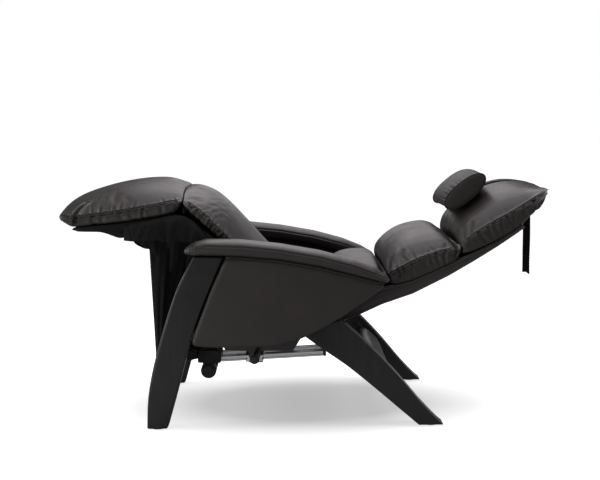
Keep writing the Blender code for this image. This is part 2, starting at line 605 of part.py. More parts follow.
# ---------------------------------------------------------------- legrest
def make_legrest_frame():
    legrest = BODIES["legrest"]
    rail_rear, rail_front = (-0.436, 0.667), (-0.606, 0.6455)
    plate = [turned((KNEE_AXIS[0] + 0.020, KNEE_AXIS[1]), KNEE_AXIS, math.radians(a))
             for a in (75, 110)]
    plate += [(-0.436, 0.684), (-0.510, 0.666), (-0.512, 0.650), (-0.440, 0.652), (-0.395, 0.644)]
    plate += [turned((LINK_LUG[0] + 0.014, LINK_LUG[1]), LINK_LUG, math.radians(a))
              for a in (225, 270, 315, 0, 45)]
    shapes = []
    for _, sign in sides():
        shapes.append(slab(plate, *span(sign, LUG_PLATE)))
        shapes.append(bar(rail_rear, rail_front, 0.022, 0.020, sign * 0.2600))
        shapes.append(turned_x(KNEE_AXIS, [(sign * 0.2560, 0.0080), (sign * 0.2720, 0.0080)], 16))
        shapes.append(turned_x(LINK_LUG, [(sign * 0.2740, 0.0050), (sign * 0.2880, 0.0050)], 16))
    cross = unit(rail_rear, rail_front)
    for distance in (0.050, 0.102, 0.154):
        start, end = (along(rail_rear, cross, distance + d) for d in (-0.012, 0.012))
        shapes.append(bar(start, end, 0.510, 0.016, 0.0))
    frame = node("legrest_frame", shapes[0], "black_steel", legrest)
    first_side, second_side, crosses = shapes[1:4], shapes[4:8], shapes[8:]
    boolean(frame, "UNION", first_side[:1] + crosses + first_side[1:] + second_side)
    top = [(-0.434, 0.7060), (-0.452, 0.7000), (-0.480, 0.6925), (-0.605, 0.6760),
           (-0.706, 0.6680), (-0.776, 0.6620)]
    under = [(y, z - 0.0140) for y, z in reversed(top)]
    bevel(node("legrest_board", slab(top + under, -0.262, 0.262), "board", legrest), 0.003, 1)


def make_legrest_links():
    """Cranked bars from the base to the legrest's lugs. They pass under the tilt pins."""
    elbow = (TILT_AXIS[0] - 0.030, TILT_AXIS[1] - 0.050)
    path = [LINK_PIVOT, elbow, LINK_LUG]
    knee_side = unit(elbow, LINK_LUG)
    path.insert(2, along(elbow, knee_side, 0.05))
    path.insert(1, along(elbow, unit(elbow, LINK_PIVOT), 0.02))
    for side, sign in sides():
        link = node(f"{side}_legrest_link", slab(stadium(path, 0.0105), *span(sign, LINK_BAR)),
                    "black_steel", BODIES["legrest_links"])
        through = span(sign, (LINK_BAR[0] - 0.01, LINK_BAR[1] + 0.01))
        boolean(link, "DIFFERENCE", [rod_x(LINK_PIVOT, 0.0066, *through),
                                     rod_x(LINK_LUG, 0.0062, *through)])


# ---------------------------------------------------------------- back
def shell_frames():
    """Each shell station's (y, z), its direction up the back, and its depth."""
    points = [(y, z) for y, z, _ in SHELL_STATIONS]
    last = len(points) - 1
    for i, (y, z, depth) in enumerate(SHELL_STATIONS):
        yield (y, z), unit(points[max(i - 1, 0)], points[min(i + 1, last)]), depth


def make_back_shell():
    corner = 0.022
    loops = []
    for point, direction, depth in shell_frames():
        round_off = min(corner, depth * 0.6)
        outer = [(-SHELL_HALF, depth), (-SHELL_HALF, round_off),
                 (-SHELL_HALF + corner * 0.3, round_off * 0.3), (-SHELL_HALF + corner, 0)]
        outer += [(-x, n) for x, n in reversed(outer)]
        inner_half = SHELL_HALF - SHELL_WALL
        floor = min(SHELL_WALL, depth * 0.5)
        inner = [(inner_half, depth), (inner_half, floor + round_off * 0.4),
                 (inner_half - corner, floor)]
        inner += [(-x, n) for x, n in reversed(inner)]
        ring = []
        for x, n in outer + inner:
            y, z = along(point, direction, 0, n)
            ring.append((x, y, z))
        loops.append(ring)
    node("back_shell", loft(loops), "leather", BACK)


def make_back_frame():
    """Two long rails with slats, hinge arms at the hip and a fork for the actuator."""
    rails = {sign: [] for sign in (1, -1)}
    for point, direction, depth in list(shell_frames())[:6]:
        low, high = depth - 0.0095, depth - 0.0020
        for sign in rails:
            x0, x1 = span(sign, (0.205, 0.250))
            corners = ((x0, low), (x1, low), (x1, high), (x0, high))
            rails[sign].append([(x, *along(point, direction, 0, n)) for x, n in corners])
    frame = node("back_frame", loft(rails[1]), "black_steel", BACK)
    shapes = [loft(rails[-1])]
    for index in (1, 2, 3, 4):
        point, direction, depth = list(shell_frames())[index]
        ends = [along(point, direction, d, depth - 0.0055) for d in (-0.016, 0.016)]
        shapes.append(bar(*ends, 0.430, 0.005, 0.0))
    arm = [turned((HIP_AXIS[0] + 0.018, HIP_AXIS[1]), HIP_AXIS, math.radians(a))
           for a in (60, 110, 160, 210, 260, 300)]
    arm += [(0.110, 0.352), (0.180, 0.386), (0.178, 0.402), (0.090, 0.377)]
    for _, sign in sides():
        shapes.append(slab(arm, *span(sign, (0.2380, 0.2560))))
        stud = [(sign * 0.2540, 0.0090), (sign * 0.2700, 0.0090)]
        shapes.append(turned_x(HIP_AXIS, stud, 16))
    tie = (0.062, 0.358)
    shapes.append(rod_x(tie, 0.0095, -0.2400, 0.2400, 12))
    fork = stadium([tie, BACK_PIN], 0.0110, 5)
    for sign in (1, -1):
        shapes.append(slab(fork, *span(sign, (0.0078, 0.0138))))
    shapes.append(rod_x(BACK_PIN, 0.0048, -0.0120, 0.0120, 12))
    boolean(frame, "UNION", shapes)


# ---------------------------------------------------------------- cushions, pillow and strap
def cushion(name, outline, base_dir, carrier, bow=(0.0, 1.0, 0.0), steps=2):
    """A crowned cushion: its outline sinks from mid width to the long seams, then tucks in.

    bow is where along y its free end starts to swell, where it ends, and by how much.
    """
    down = (base_dir[1], -base_dir[0])
    loops = []
    widths = (0.0, 0.30, 0.55, 0.74, 0.88, 0.97)
    curve = smooth(outline, steps, closed=True)
    middle = (sum(p[0] for p in curve) / len(curve), sum(p[1] for p in curve) / len(curve))

    def ring(x, share, shrink=1.0):
        made = []
        for y, z, drop in curve:
            reach = min(max((y - bow[0]) / (bow[1] - bow[0]), 0), 1)
            swell = bow[2] * reach ** 2 * (1 - min(x / SEAM_HALF, 1) ** 2)
            y, z = y + down[0] * drop * share + swell, z + down[1] * drop * share
            centre = (middle[0] + down[0] * 0.03, middle[1] + down[1] * 0.03)
            made.append((x, centre[0] + (y - centre[0]) * shrink,
                         centre[1] + (z - centre[1]) * shrink))
        return made

    half = [ring(SEAM_HALF * w, 1 - (1 - w ** 2.4) ** 0.6) for w in widths]
    half += [ring(SEAM_HALF + 0.008, 1.0, 0.985), ring(CUSHION_HALF, 1.0, 0.90)]
    mirrored = [[(-x, y, z) for x, y, z in loop] for loop in half[:0:-1]]
    loops = mirrored + half
    return node(name, loft(loops), "leather", carrier)


def make_cushions():
    def slope(degrees):
        return (math.cos(math.radians(degrees)), math.sin(math.radians(degrees)))

    cushion("legrest_cushion", CALF_OUTLINE, slope(7), BODIES["legrest"], (-0.70, -0.81, -0.018))
    cushion("seat_cushion", THIGH_OUTLINE, slope(0), SEAT)
    cushion("lower_back_cushion", LOWER_BACK_OUTLINE, slope(16), BACK)
    cushion("mid_back_cushion", MID_BACK_OUTLINE, slope(24), BACK)
    cushion("head_cushion", HEAD_OUTLINE, slope(30), BACK, (0.70, 0.81, 0.018))


def make_pillow():
    half_wide, half_long, half_thick = PILLOW_HALF
    loops = []
    c, s = math.cos(PILLOW_SLOPE), math.sin(PILLOW_SLOPE)
    for share in (-1, -0.93, -0.7, -0.35, 0, 0.35, 0.7, 0.93, 1):
        size = (1 - 0.30 * abs(share) ** 8) * (1 - 0.06 * share ** 2)
        ring = []
        for k in range(20):
            angle = math.tau * k / 20
            u = half_long * size * math.copysign(abs(math.cos(angle)) ** 0.85, math.cos(angle))
            v = half_thick * size * math.sin(angle)
            ring.append((half_wide * share, PILLOW_CENTRE[0] + u * c - v * s,
                         PILLOW_CENTRE[1] + u * s + v * c))
        loops.append(ring)
    node("head_pillow", loft(loops), "leather", BODIES["pillow"])


def make_strap():
    path = smooth(STRAP_PATH, 2)
    thick = 0.0012
    node("pillow_strap", slab(stadium(path, thick, 2), -0.025, 0.025), "webbing", BACK)
    width, depth, length = STRAP_TAIL
    y, z = STRAP_HINGE
    half, neck = width / 2, 0.004
    tail = [(y - neck, z), (y - half, z - 0.028), (y - half, z - length), (y + half, z - length),
            (y + half, z - 0.028), (y + neck, z)]
    node("strap_tail", slab(tail, -depth / 2, depth / 2), "webbing", BODIES["strap_end"])


def main():
    make_legs()
    make_panels_and_arms()
    make_base_frame()
    make_pivot_plates()
    make_tilt_drives()
    make_control_box()
    make_curtain()
    make_push_bar()
    make_side_plates()
    make_seat_frame()
    make_back_drive()
    make_legrest_frame()
    make_legrest_links()
    make_back_shell()
    make_back_frame()
    make_cushions()
    make_pillow()
    make_strap()


main()
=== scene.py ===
"""Looks of the powered zero-gravity recliner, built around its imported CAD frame.

Metres, +Z up, feet towards -Y. Each cushion starts from its CAD solid: it is remeshed, blown up by a
short cloth simulation that its seams hold down, kept off its neighbours, then creased. The other
leather pieces are worn round and creased without one, and the thin fabrics are grids of points.
"""

import json
import math
import random

import bmesh
import bpy
import numpy as np
from mathutils import Matrix, Vector
from mathutils.bvhtree import BVHTree
from mathutils.kdtree import KDTree


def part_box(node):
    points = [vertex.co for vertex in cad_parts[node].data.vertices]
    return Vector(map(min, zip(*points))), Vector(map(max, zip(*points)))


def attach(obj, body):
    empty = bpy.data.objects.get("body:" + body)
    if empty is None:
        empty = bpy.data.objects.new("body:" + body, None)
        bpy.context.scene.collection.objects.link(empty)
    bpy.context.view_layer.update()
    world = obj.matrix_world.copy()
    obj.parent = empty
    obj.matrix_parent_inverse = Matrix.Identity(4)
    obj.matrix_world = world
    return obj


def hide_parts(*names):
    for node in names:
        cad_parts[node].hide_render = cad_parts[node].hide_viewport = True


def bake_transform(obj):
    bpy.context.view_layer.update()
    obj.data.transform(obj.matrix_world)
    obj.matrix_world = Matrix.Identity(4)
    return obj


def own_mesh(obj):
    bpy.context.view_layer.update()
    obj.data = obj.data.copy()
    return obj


# ---------------- camera and light
CAMERA_AT = (4.295, -0.0655, 1.005)
CAMERA_YAW, CAMERA_PITCH, CAMERA_ROLL = 0.0113, 0.0976, -0.0131
LENS, SENSOR = 72.67, 36.0
WORLD_LIGHT = 0.13
FLOOR_LIGHT_IN_PAINTED_SHADOW = 0.40          # the floor's own light near the chair, which only the camera sees: lower than further out, a painted shadow under the chair
FLOOR_REACH = 40.0

# ---------------- sizes shared by several pieces
SIDES = (("left", 1), ("right", -1))
CHAIN_STEP = 0.004         # spacing of the points along a seam
STITCH_PITCH, STITCH_LONG, STITCH_THICK = 0.0072, 0.0050, 0.00055
ROW_OFF = 0.0038           # a row of stitches stands this far from its seam
GROOVE, HEAP = 0.0025, 0.0010  # how deep a row sinks in, how high the leather stands beside it
WELT = 0.0023              # radius of a piped edge
VOXEL = 0.0062
SIM_FRAMES = 18
PRESSURE = 3.6
SPARE_LEATHER = 0.002      # the share by which the leather is longer than the pad under it
CUSHION_LIMIT = 0.293      # no cushion swells past this half width
INSET, SWELL = 0.006, 0.012  # a cushion starts this much smaller, and may swell this much
WIDE = math.inf            # the reach of a lift that takes in the whole width
PILLOW_SLOPE = math.radians(39)
PILLOW_LONG, PILLOW_THICK = 0.085, 0.0335   # half sizes of the pillow's oval section
PILLOW_CROWN = 0.013                        # how much higher it stands in the middle
PILLOW_SINK = (0.005, -0.013)               # how far it settles into the head cushion
ARM_DROOP = 0.007          # how far the padding of an arm's front tip hangs down
TIP_LONG = 0.085           # the length of arm over which it does
FABRIC = 0.0012            # thickness of the thin fabric sheets
STRAP_END = [(0.822, 0.7120), (0.806, 0.6980)]   # (y, z) where the pillow's strap meets the shell
LILAC, WARM, WHITE = (1.0, 0.955, 1.0), (1.0, 0.965, 0.94), (1.0, 1.0, 1.0)
# name, place, target, size, power and colour of each lamp
LAMPS = (("overhead", (-0.4, 0.0, 2.7), (0, 0, 0.4), (2.2, 3.6), 52, LILAC),
         ("far_side", (-2.6, 0.2, 2.3), (0, 0, 0.5), (1.6, 3.6), 14, LILAC),
         ("feet_side", (0.0, -3.4, 1.3), (0, -0.2, 0.5), (2.0, 1.8), 44, WHITE),
         ("head_side", (0.2, 3.4, 2.2), (0, 0.2, 0.4), (2.0, 1.6), 30, WHITE),
         ("camera_fill", (3.0, 0.8, 2.6), (0, 0, 0.4), (1.6, 1.6), 6, WHITE),
         ("low_fill", (2.9, -2.1, 0.35), (0.3, 0, 0.7), (1.6, 0.7), 19, WARM))

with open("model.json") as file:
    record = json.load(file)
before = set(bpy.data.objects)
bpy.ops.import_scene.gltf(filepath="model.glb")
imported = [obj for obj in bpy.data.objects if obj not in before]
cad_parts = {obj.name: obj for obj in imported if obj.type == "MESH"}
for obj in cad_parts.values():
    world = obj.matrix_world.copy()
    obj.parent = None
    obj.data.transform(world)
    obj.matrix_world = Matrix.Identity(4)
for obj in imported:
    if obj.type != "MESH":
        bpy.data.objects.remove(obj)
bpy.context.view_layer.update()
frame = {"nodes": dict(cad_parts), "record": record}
NODES = frame["nodes"]
BODY_OF = {n: body for body, names in frame["record"]["behaviour"]["bodies"].items() for n in names}
SLOT_OF = {row["node"]: row["material_slot"] for row in frame["record"]["subparts"]}


# ---------------- materials
class Paint:
    """A Principled material and short ways to wire the nodes behind it."""

    def __init__(self, name, colour, roughness, metallic=0.0, **sockets):
        self.material = bpy.data.materials.new(name)
        self.material.use_nodes = True
        self.tree = self.material.node_tree
        self.shader = self.tree.nodes["Principled BSDF"]
        self.set("Base Color", (*colour, 1.0))
        self.set("Roughness", roughness)
        self.set("Metallic", metallic)
        for socket, value in sockets.items():
            self.set(socket.replace("_", " "), value)
        self.place = self.tree.nodes.new("ShaderNodeTexCoord").outputs["Object"]
        self.height = None

    def set(self, socket, value):
        self.shader.inputs[socket].default_value = value

    def join(self, source, socket):
        self.tree.links.new(source, self.shader.inputs[socket])

    def node(self, kind, inputs=None, **settings):
        made = self.tree.nodes.new("ShaderNode" + kind)
        for key, value in settings.items():
            setattr(made, key, value)
        for key, value in (inputs or {}).items():
            if isinstance(value, bpy.types.NodeSocket):
                self.tree.links.new(value, made.inputs[key])
            else:
                made.inputs[key].default_value = value
        return made

    def stretched(self, scale):
        """Object coordinates scaled apart, for grain that runs one way."""
        return self.node("Mapping", {"Vector": self.place, "Scale": scale}).outputs["Vector"]

    def noise(self, scale, detail=3.0, roughness=0.5, place=None):
        sockets = {"Vector": place or self.place, "Scale": scale, "Detail": detail,
                   "Roughness": roughness}
        return self.node("TexNoise", sockets).outputs["Fac"]

    def cells(self, scale, feature="DISTANCE_TO_EDGE"):
        sockets = {"Vector": self.place, "Scale": scale, "Randomness": 1.0}
        return self.node("TexVoronoi", sockets, feature=feature).outputs["Distance"]

    def ramp(self, value, low, high, out_low=0.0, out_high=1.0):
        sockets = {"Value": value, "From Min": low, "From Max": high, "To Min": out_low,
                   "To Max": out_high}
        return self.node("MapRange", sockets).outputs["Result"]

    def mix(self, share, first, second):
        """A colour between two others."""
        made = self.node("Mix", data_type="RGBA")
        self.tree.links.new(share, made.inputs["Factor"])
        for socket, value in ((made.inputs[6], first), (made.inputs[7], second)):
            if isinstance(value, bpy.types.NodeSocket):
                self.tree.links.new(value, socket)
            else:
                socket.default_value = (*value, 1.0)
        return made.outputs[2]

    def mottle(self, scale, detail, low, high):
        """Lets the surface wander between two roughnesses."""
        self.join(self.ramp(self.noise(scale, detail), 0.3, 0.7, low, high), "Roughness")

    def bump(self, height, strength, distance):
        """Adds one layer of relief on top of those already there."""
        sockets = {"Height": height, "Strength": strength, "Distance": distance}
        if self.height is not None:
            sockets["Normal"] = self.height
        self.height = self.node("Bump", sockets).outputs["Normal"]
        self.tree.links.new(self.height, self.shader.inputs["Normal"])


def leather(name, dark, light, roughness, grain=520.0, crease=1.0, coat=0.10):
    """Pigmented upholstery leather: pebbled grain, faint creases, slow changes of tone."""
    paint = Paint(name, dark, roughness, Coat_Weight=coat, Coat_Roughness=0.34,
                  Specular_IOR_Level=0.46)
    pebble = paint.cells(grain)
    tone = paint.mix(paint.ramp(paint.noise(7.0, 4.0), 0.35, 0.68), dark, light)
    pore = tuple(0.55 * c for c in dark)
    paint.join(paint.mix(paint.ramp(pebble, 0.0, 0.10, 0.75, 0.0), tone, pore), "Base Color")
    worn = paint.noise(16.0, 5.0, 0.6)
    paint.join(paint.ramp(worn, 0.3, 0.7, roughness - 0.05, roughness + 0.07), "Roughness")
    paint.bump(paint.noise(34.0, 5.0, 0.62, paint.stretched((1.0, 1.0, 1.6))), 0.16 * crease, 0.004)
    paint.bump(paint.ramp(pebble, 0.0, 0.18), 0.22, 0.0005)
    paint.bump(paint.noise(grain * 2.6, 2.0), 0.10, 0.0003)
    return paint.material


def lacquered_wood():
    """Black-stained bent plywood under satin lacquer: the grain only just shows in the sheen."""
    paint = Paint("satin_black_wood", (0.0068, 0.0070, 0.0076), 0.38, Coat_Weight=0.16,
                  Coat_Roughness=0.22, Specular_IOR_Level=0.40)
    grain = paint.noise(90.0, 5.0, 0.6, paint.stretched((1.0, 1.0, 0.09)))
    paint.join(paint.mix(paint.ramp(grain, 0.35, 0.7), (0.0055, 0.0057, 0.0062),
                         (0.0105, 0.0107, 0.0114)), "Base Color")
    paint.mottle(22.0, 4.0, 0.31, 0.42)
    paint.bump(grain, 0.08, 0.0004)
    return paint.material


def woven(name, colour, light, pitch, roughness=0.88, depth=0.5):
    """A plain weave, from two crossed bands."""
    paint = Paint(name, colour, roughness, Sheen_Weight=0.02, Sheen_Roughness=0.5,
                  Specular_IOR_Level=0.15)
    sockets = {"Vector": paint.place, "Scale": pitch, "Distortion": 0.4, "Detail": 1.0}
    warp, weft = [paint.node("TexWave", sockets, bands_direction=way).outputs["Fac"] for way in "XZ"]
    both = paint.node("Math", {0: warp, 1: weft}, operation="MULTIPLY").outputs[0]
    tone = paint.mix(both, colour, light)
    paint.join(paint.mix(paint.ramp(paint.noise(12.0, 4.0), 0.3, 0.7, 0.0, 0.35), tone, colour),
               "Base Color")
    paint.mottle(60.0, 3.0, roughness - 0.06, roughness + 0.06)
    paint.bump(paint.noise(26.0, 4.0), 0.18, 0.004)
    paint.bump(both, depth, 0.0004)
    return paint.material


def metal(name, colour, roughness, brushed=(1.0, 1.0, 1.0)):
    """Bare metal with fine lines along its brushed direction."""
    paint = Paint(name, colour, roughness, 1.0)
    lines = paint.noise(420.0, 4.0, 0.6, paint.stretched(brushed))
    paint.join(paint.mix(lines, tuple(0.85 * c for c in colour), colour), "Base Color")
    paint.join(paint.ramp(lines, 0.3, 0.7, roughness - 0.06, roughness + 0.10), "Roughness")
    paint.bump(lines, 0.10, 0.0002)
    return paint.material


def powder_coat():
    """Black powder coat with its orange peel."""
    colour = (0.0095, 0.0095, 0.0102)
    paint = Paint("black_powder_coat", colour, 0.46, Specular_IOR_Level=0.5)
    orange_peel = paint.noise(900.0, 2.0)
    paint.join(paint.mix(paint.noise(40.0, 4.0), colour, tuple(1.6 * c for c in colour)),
               "Base Color")
    paint.mottle(30.0, 4.0, 0.40, 0.54)
    paint.bump(orange_peel, 0.25, 0.0004)
    return paint.material


def moulded_plastic():
    """Black plastic with a fine spark-eroded texture."""
    paint = Paint("black_moulded_plastic", (0.012, 0.012, 0.013), 0.52)
    spark = paint.cells(1500.0, "F1")
    paint.join(paint.mix(paint.noise(50.0, 3.0), (0.010, 0.010, 0.011), (0.018, 0.018, 0.019)),
               "Base Color")
    paint.mottle(45.0, 3.0, 0.46, 0.60)
    paint.bump(spark, 0.20, 0.0003)
    return paint.material


LEATHER_DARK, LEATHER_LIGHT = (0.0212, 0.0166, 0.0150), (0.0285, 0.0228, 0.0208)
MATERIALS = {
    "leather": leather("cushion_leather", LEATHER_DARK, LEATHER_LIGHT, 0.40),
    "flat_leather": leather("panel_leather", LEATHER_DARK, LEATHER_LIGHT, 0.46, crease=0.30),
    "dull_leather": leather("pillow_leather", LEATHER_DARK, LEATHER_LIGHT, 0.54, crease=1.3, coat=0.0),
    "dark_piping": leather("piping_leather", (0.0050, 0.0045, 0.0045), (0.0080, 0.0072, 0.0070), 0.42),
    "black_wood": lacquered_wood(),
    "black_plastic": moulded_plastic(),
    "black_steel": powder_coat(),
    "aluminium": metal("anodised_aluminium", (0.74, 0.75, 0.77), 0.27, (1.0, 0.05, 1.0)),
    "steel": metal("turned_steel", (0.52, 0.52, 0.53), 0.30),
    "curtain_fabric": woven("curtain_fabric", (0.0011, 0.0012, 0.0014), (0.0030, 0.0031, 0.0036), 260.0),
    "lining_fabric": woven("lining_fabric", (0.0125, 0.0132, 0.0145), (0.021, 0.0218, 0.0235), 300.0),
    "drape_fabric": woven("drape_fabric", (0.0095, 0.0099, 0.0108), (0.0185, 0.0191, 0.0205), 260.0),
    "webbing": woven("strap_webbing", (0.0030, 0.0030, 0.0034), (0.0085, 0.0085, 0.0092), 330.0),
    "thread": woven("waxed_thread", (0.075, 0.066, 0.062), (0.115, 0.102, 0.096), 900.0, 0.6, 0.2),
}


# ---------------- mesh helpers
def link(obj):
    bpy.context.scene.collection.objects.link(obj)
    return obj


def points_of(obj):
    found = np.empty(len(obj.data.vertices) * 3)
    obj.data.vertices.foreach_get("co", found)
    return found.reshape(-1, 3)


def move_points(obj, points):
    obj.data.vertices.foreach_set("co", np.asarray(points, np.float32).ravel())
    obj.data.update()


def normals_of(obj):
    found = np.empty(len(obj.data.vertices) * 3)
    obj.data.vertex_normals.foreach_get("vector", found)
    return found.reshape(-1, 3)


def applied(obj):
    """Bakes obj's modifiers into its mesh."""
    graph = bpy.context.evaluated_depsgraph_get()
    mesh = bpy.data.meshes.new_from_object(obj.evaluated_get(graph), depsgraph=graph)
    old, name = obj.data, obj.data.name
    obj.modifiers.clear()
    obj.data = mesh
    bpy.data.meshes.remove(old)
    mesh.name = name
    return obj


def modified(obj, kind, **settings):
    """Runs one modifier over obj and bakes it."""
    modifier = obj.modifiers.new(kind.lower(), kind)
    for key, value in settings.items():
        setattr(modifier, key, value)
    return applied(obj)


def remesh(obj, voxel):
    return modified(obj, "REMESH", mode="VOXEL", voxel_size=voxel)


def relax(obj, rounds, factor=0.5):
    return modified(obj, "SMOOTH", iterations=rounds, factor=factor)


def subdivide(obj):
    return modified(obj, "SUBSURF", levels=1, render_levels=1)


def soft_copy(node, name, voxel, rounds):
    """A CAD node's shape as a fine closed mesh with its corners worn round."""
    obj = link(bpy.data.objects.new(name, NODES[node].data.copy()))
    obj.data.name = name
    obj.data.materials.clear()
    bm = bmesh.new()
    bm.from_mesh(obj.data)
    bmesh.ops.remove_doubles(bm, verts=bm.verts, dist=2e-5)
    bm.to_mesh(obj.data)
    bm.free()
    return relax(remesh(obj, voxel), rounds)


def done(obj, finish, body=None, stands_for=()):
    """Shades, paints and attaches a finished piece."""
    obj.data.shade_smooth()
    obj.data.materials.clear()
    obj.data.materials.append(MATERIALS[finish])
    if body:
        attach(obj, body)
    if stands_for:
        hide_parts(*stands_for)
    return obj


def mesh_object(name, bm):
    bmesh.ops.recalc_face_normals(bm, faces=bm.faces)
    mesh = bpy.data.meshes.new(name)
    bm.to_mesh(mesh)
    bm.free()
    return link(bpy.data.objects.new(name, mesh))


def add_rings(bm, rings, loop=False):
    """A surface through equal rings of points, closed by flat ends or on itself."""
    made = [[bm.verts.new(p) for p in ring] for ring in rings]
    count = len(made[0])
    pairs = list(zip(made, made[1:]))
    if loop:
        pairs.append((made[-1], made[0]))
    for a, b in pairs:
        for i in range(count):
            j = (i + 1) % count
            bm.faces.new((a[i], a[j], b[j], b[i]))
    if not loop:
        bm.faces.new(made[0][::-1])
        bm.faces.new(made[-1])


def from_rings(name, rings):
    bm = bmesh.new()
    add_rings(bm, rings)
    return mesh_object(name, bm)


def around(count):
    """Evenly spaced angles of one turn."""
    return [math.tau * k / count for k in range(count)]


def tube_rings(path, radius, loop=False):
    """Rings of a round tube along a path, kept from twisting."""
    path = [Vector(p) for p in path]
    last = len(path) - 1
    rings, guide = [], None
    for i, p in enumerate(path):
        before = path[i - 1] if i or loop else p
        after = path[(i + 1) % len(path)] if i < last or loop else p
        ahead = (after - before).normalized()
        if guide is None:
            guide = ahead.orthogonal().normalized()
        guide = (guide - ahead * guide.dot(ahead)).normalized()
        across = ahead.cross(guide)
        rings.append([p + (guide * math.cos(a) + across * math.sin(a)) * radius
                      for a in around(8)])
    return rings


def welt(name, paths, radius, finish, body, loop=False):
    """Piping: one round tube along each path."""
    bm = bmesh.new()
    for path in paths:
        add_rings(bm, tube_rings(path, radius, loop), loop)
    return done(mesh_object(name, bm), finish, body)


def spaced(chain, step):
    """Points at an even spacing along a chain of points."""
    chain = np.array([tuple(p) for p in chain], float)
    lengths = np.concatenate([[0], np.cumsum(np.linalg.norm(np.diff(chain, axis=0), axis=1))])
    marks = np.linspace(0, lengths[-1], max(2, round(lengths[-1] / step) + 1))
    return [Vector([np.interp(m, lengths, column) for column in chain.T]) for m in marks]


def smoothed(chain, rounds=2):
    """A chain of points with its kinks taken out, its ends held."""
    chain = np.array([tuple(p) for p in chain], float)
    for _ in range(rounds):
        chain[1:-1] = 0.5 * chain[1:-1] + 0.25 * (chain[:-2] + chain[2:])
    return [Vector(p) for p in chain]


def curve_through(points, step=CHAIN_STEP):
    """Evenly spaced points on a smooth curve near the given ones."""
    return spaced(smoothed(spaced(points, 3 * step), 4), step)


def side_curve(points, step=CHAIN_STEP):
    """The same for (y, z) points, in the plane x = 0."""
    return curve_through([(0, *p) for p in points], step)


def surface_of(obj):
    return BVHTree.FromPolygons([v.co for v in obj.data.vertices],
                                [p.vertices for p in obj.data.polygons])


def ray_hit(skin, origin, direction):
    """Where a ray meets a surface, or the nearest place on it if it misses."""
    place = skin.ray_cast(Vector(origin), Vector(direction))[0]
    if place is None:
        place = skin.find_nearest(Vector(origin))[0]
    return place


def field(points, chains):
    """For each point, its nearest place on the chains: gap, metres along it, chain, side.

    Side is how far the point lies to the upper side of the chain, in the (y, z) plane.
    """
    tree = KDTree(sum(len(chain) for chain in chains))
    marks = []
    for which, chain in enumerate(chains):
        for i, p in enumerate(chain):
            ahead = chain[min(i + 1, len(chain) - 1)] - chain[max(i - 1, 0)]
            up = Vector((0, -ahead.z, ahead.y))
            up = up.normalized() if up.length > 1e-9 else Vector((0, 0, 1))
            tree.insert(p, len(marks))
            marks.append((which, i, p, up if up.z > 0 else -up))
    tree.balance()
    found = np.empty((4, len(points)))
    for k, p in enumerate(points):
        _, index, gap = tree.find(p)
        which, i, q, up = marks[index]
        found[:, k] = gap, i * CHAIN_STEP, which, (p[1] - q.y) * up.y + (p[2] - q.z) * up.z
    return found


def sink(obj, depth):
    """Moves each point inwards by its depth."""
    move_points(obj, points_of(obj) - normals_of(obj) * depth[:, None])


def dip(gap, width):
    """1 on a line, fading to nothing a few widths away from it."""
    return np.exp(-(gap / width) ** 2)


def fold(gap, width):
    """The depth profile of a crease, with the leather heaped a little on both sides."""
    return dip(gap, width) - 0.38 * dip(gap - 2.2 * width, width)


def pressed(over, soft):
    """Where points end up that lie this far over a face: a soft stop that none of them passes."""
    return np.where(over > -soft, soft * (np.tanh((over + soft) / soft) - 1), over)


def pucker(draw, gap, along, here, length, zone):
    """Short creases that leave a seam at irregular places. zone: spacing, reach, size, width."""
    spacing, reach, size, width = zone
    depth = np.zeros(len(gap))
    mark = draw.uniform(0.4, 1.0) * spacing
    while mark < length:
        w = width * draw.uniform(0.7, 1.3)
        far = reach * draw.uniform(0.5, 1.5)
        lean = draw.uniform(-0.45, 0.45)
        deep = size * draw.uniform(0.35, 1.15)
        off = np.abs(along - mark - lean * gap)
        near = here & (gap < 3.2 * far) & (off < 5 * w)
        fade = np.exp(-gap[near] / far) * np.clip(gap[near] / 0.003, 0, 1)
        depth[near] += deep * fade * fold(off[near], w)
        mark += spacing * draw.uniform(0.55, 1.45)
    return depth


def stitches(name, places, body, long=STITCH_LONG):
    """Short raised dashes of thread, each sunk a little into the leather at its ends."""
    thick = STITCH_THICK
    bm = bmesh.new()
    for place, ahead, normal in places:
        ahead = (ahead - normal * ahead.dot(normal)).normalized()
        across = normal.cross(ahead)
        rings = []
        for t in (-0.5, -0.25, 0.25, 0.5):
            middle = place + ahead * long * t + normal * thick * (0.8 if abs(t) < 0.4 else -0.8)
            size = thick * (1.0 if abs(t) < 0.4 else 0.6)
            rings.append([middle + (normal * math.cos(a) + across * math.sin(a)) * size
                          for a in around(5)])
        add_rings(bm, rings)
    return done(mesh_object(name, bm), "thread", body)


def rows_along(skin, chain, rows, pitch=STITCH_PITCH):
    """Places for stitches in rows beside a chain, on the nearest skin."""
    chain = spaced(chain, pitch)
    places = []
    for here, after in zip(chain, chain[1:]):
        ahead = (after - here).normalized()
        place, normal, *_ = skin.find_nearest(here)
        across = ahead.cross(normal).normalized()
        for row in rows:
            spot, facing, *_ = skin.find_nearest(place + across * row)
            places.append((spot, ahead, facing))
    return places


def sheet_object(name, rows, thickness=FABRIC):
    """A thin closed sheet from a grid of points: a list of rows, each a list of points."""
    bm = bmesh.new()
    grid = [[bm.verts.new(p) for p in row] for row in rows]
    for a, b in zip(grid, grid[1:]):
        for i in range(len(a) - 1):
            bm.faces.new((a[i], a[i + 1], b[i + 1], b[i]))
    obj = mesh_object(name, bm)
    return modified(obj, "SOLIDIFY", thickness=thickness, offset=0.0)


def length_of(chain):
    return sum((b - a).length for a, b in zip(chain, chain[1:]))


def flat_size(rows):
    """(width, length) of the cloth that a grid of points was cut from."""
    def span(lines):
        return sum(length_of(line) for line in lines) / len(lines)
    return span(rows), span(list(zip(*rows)))


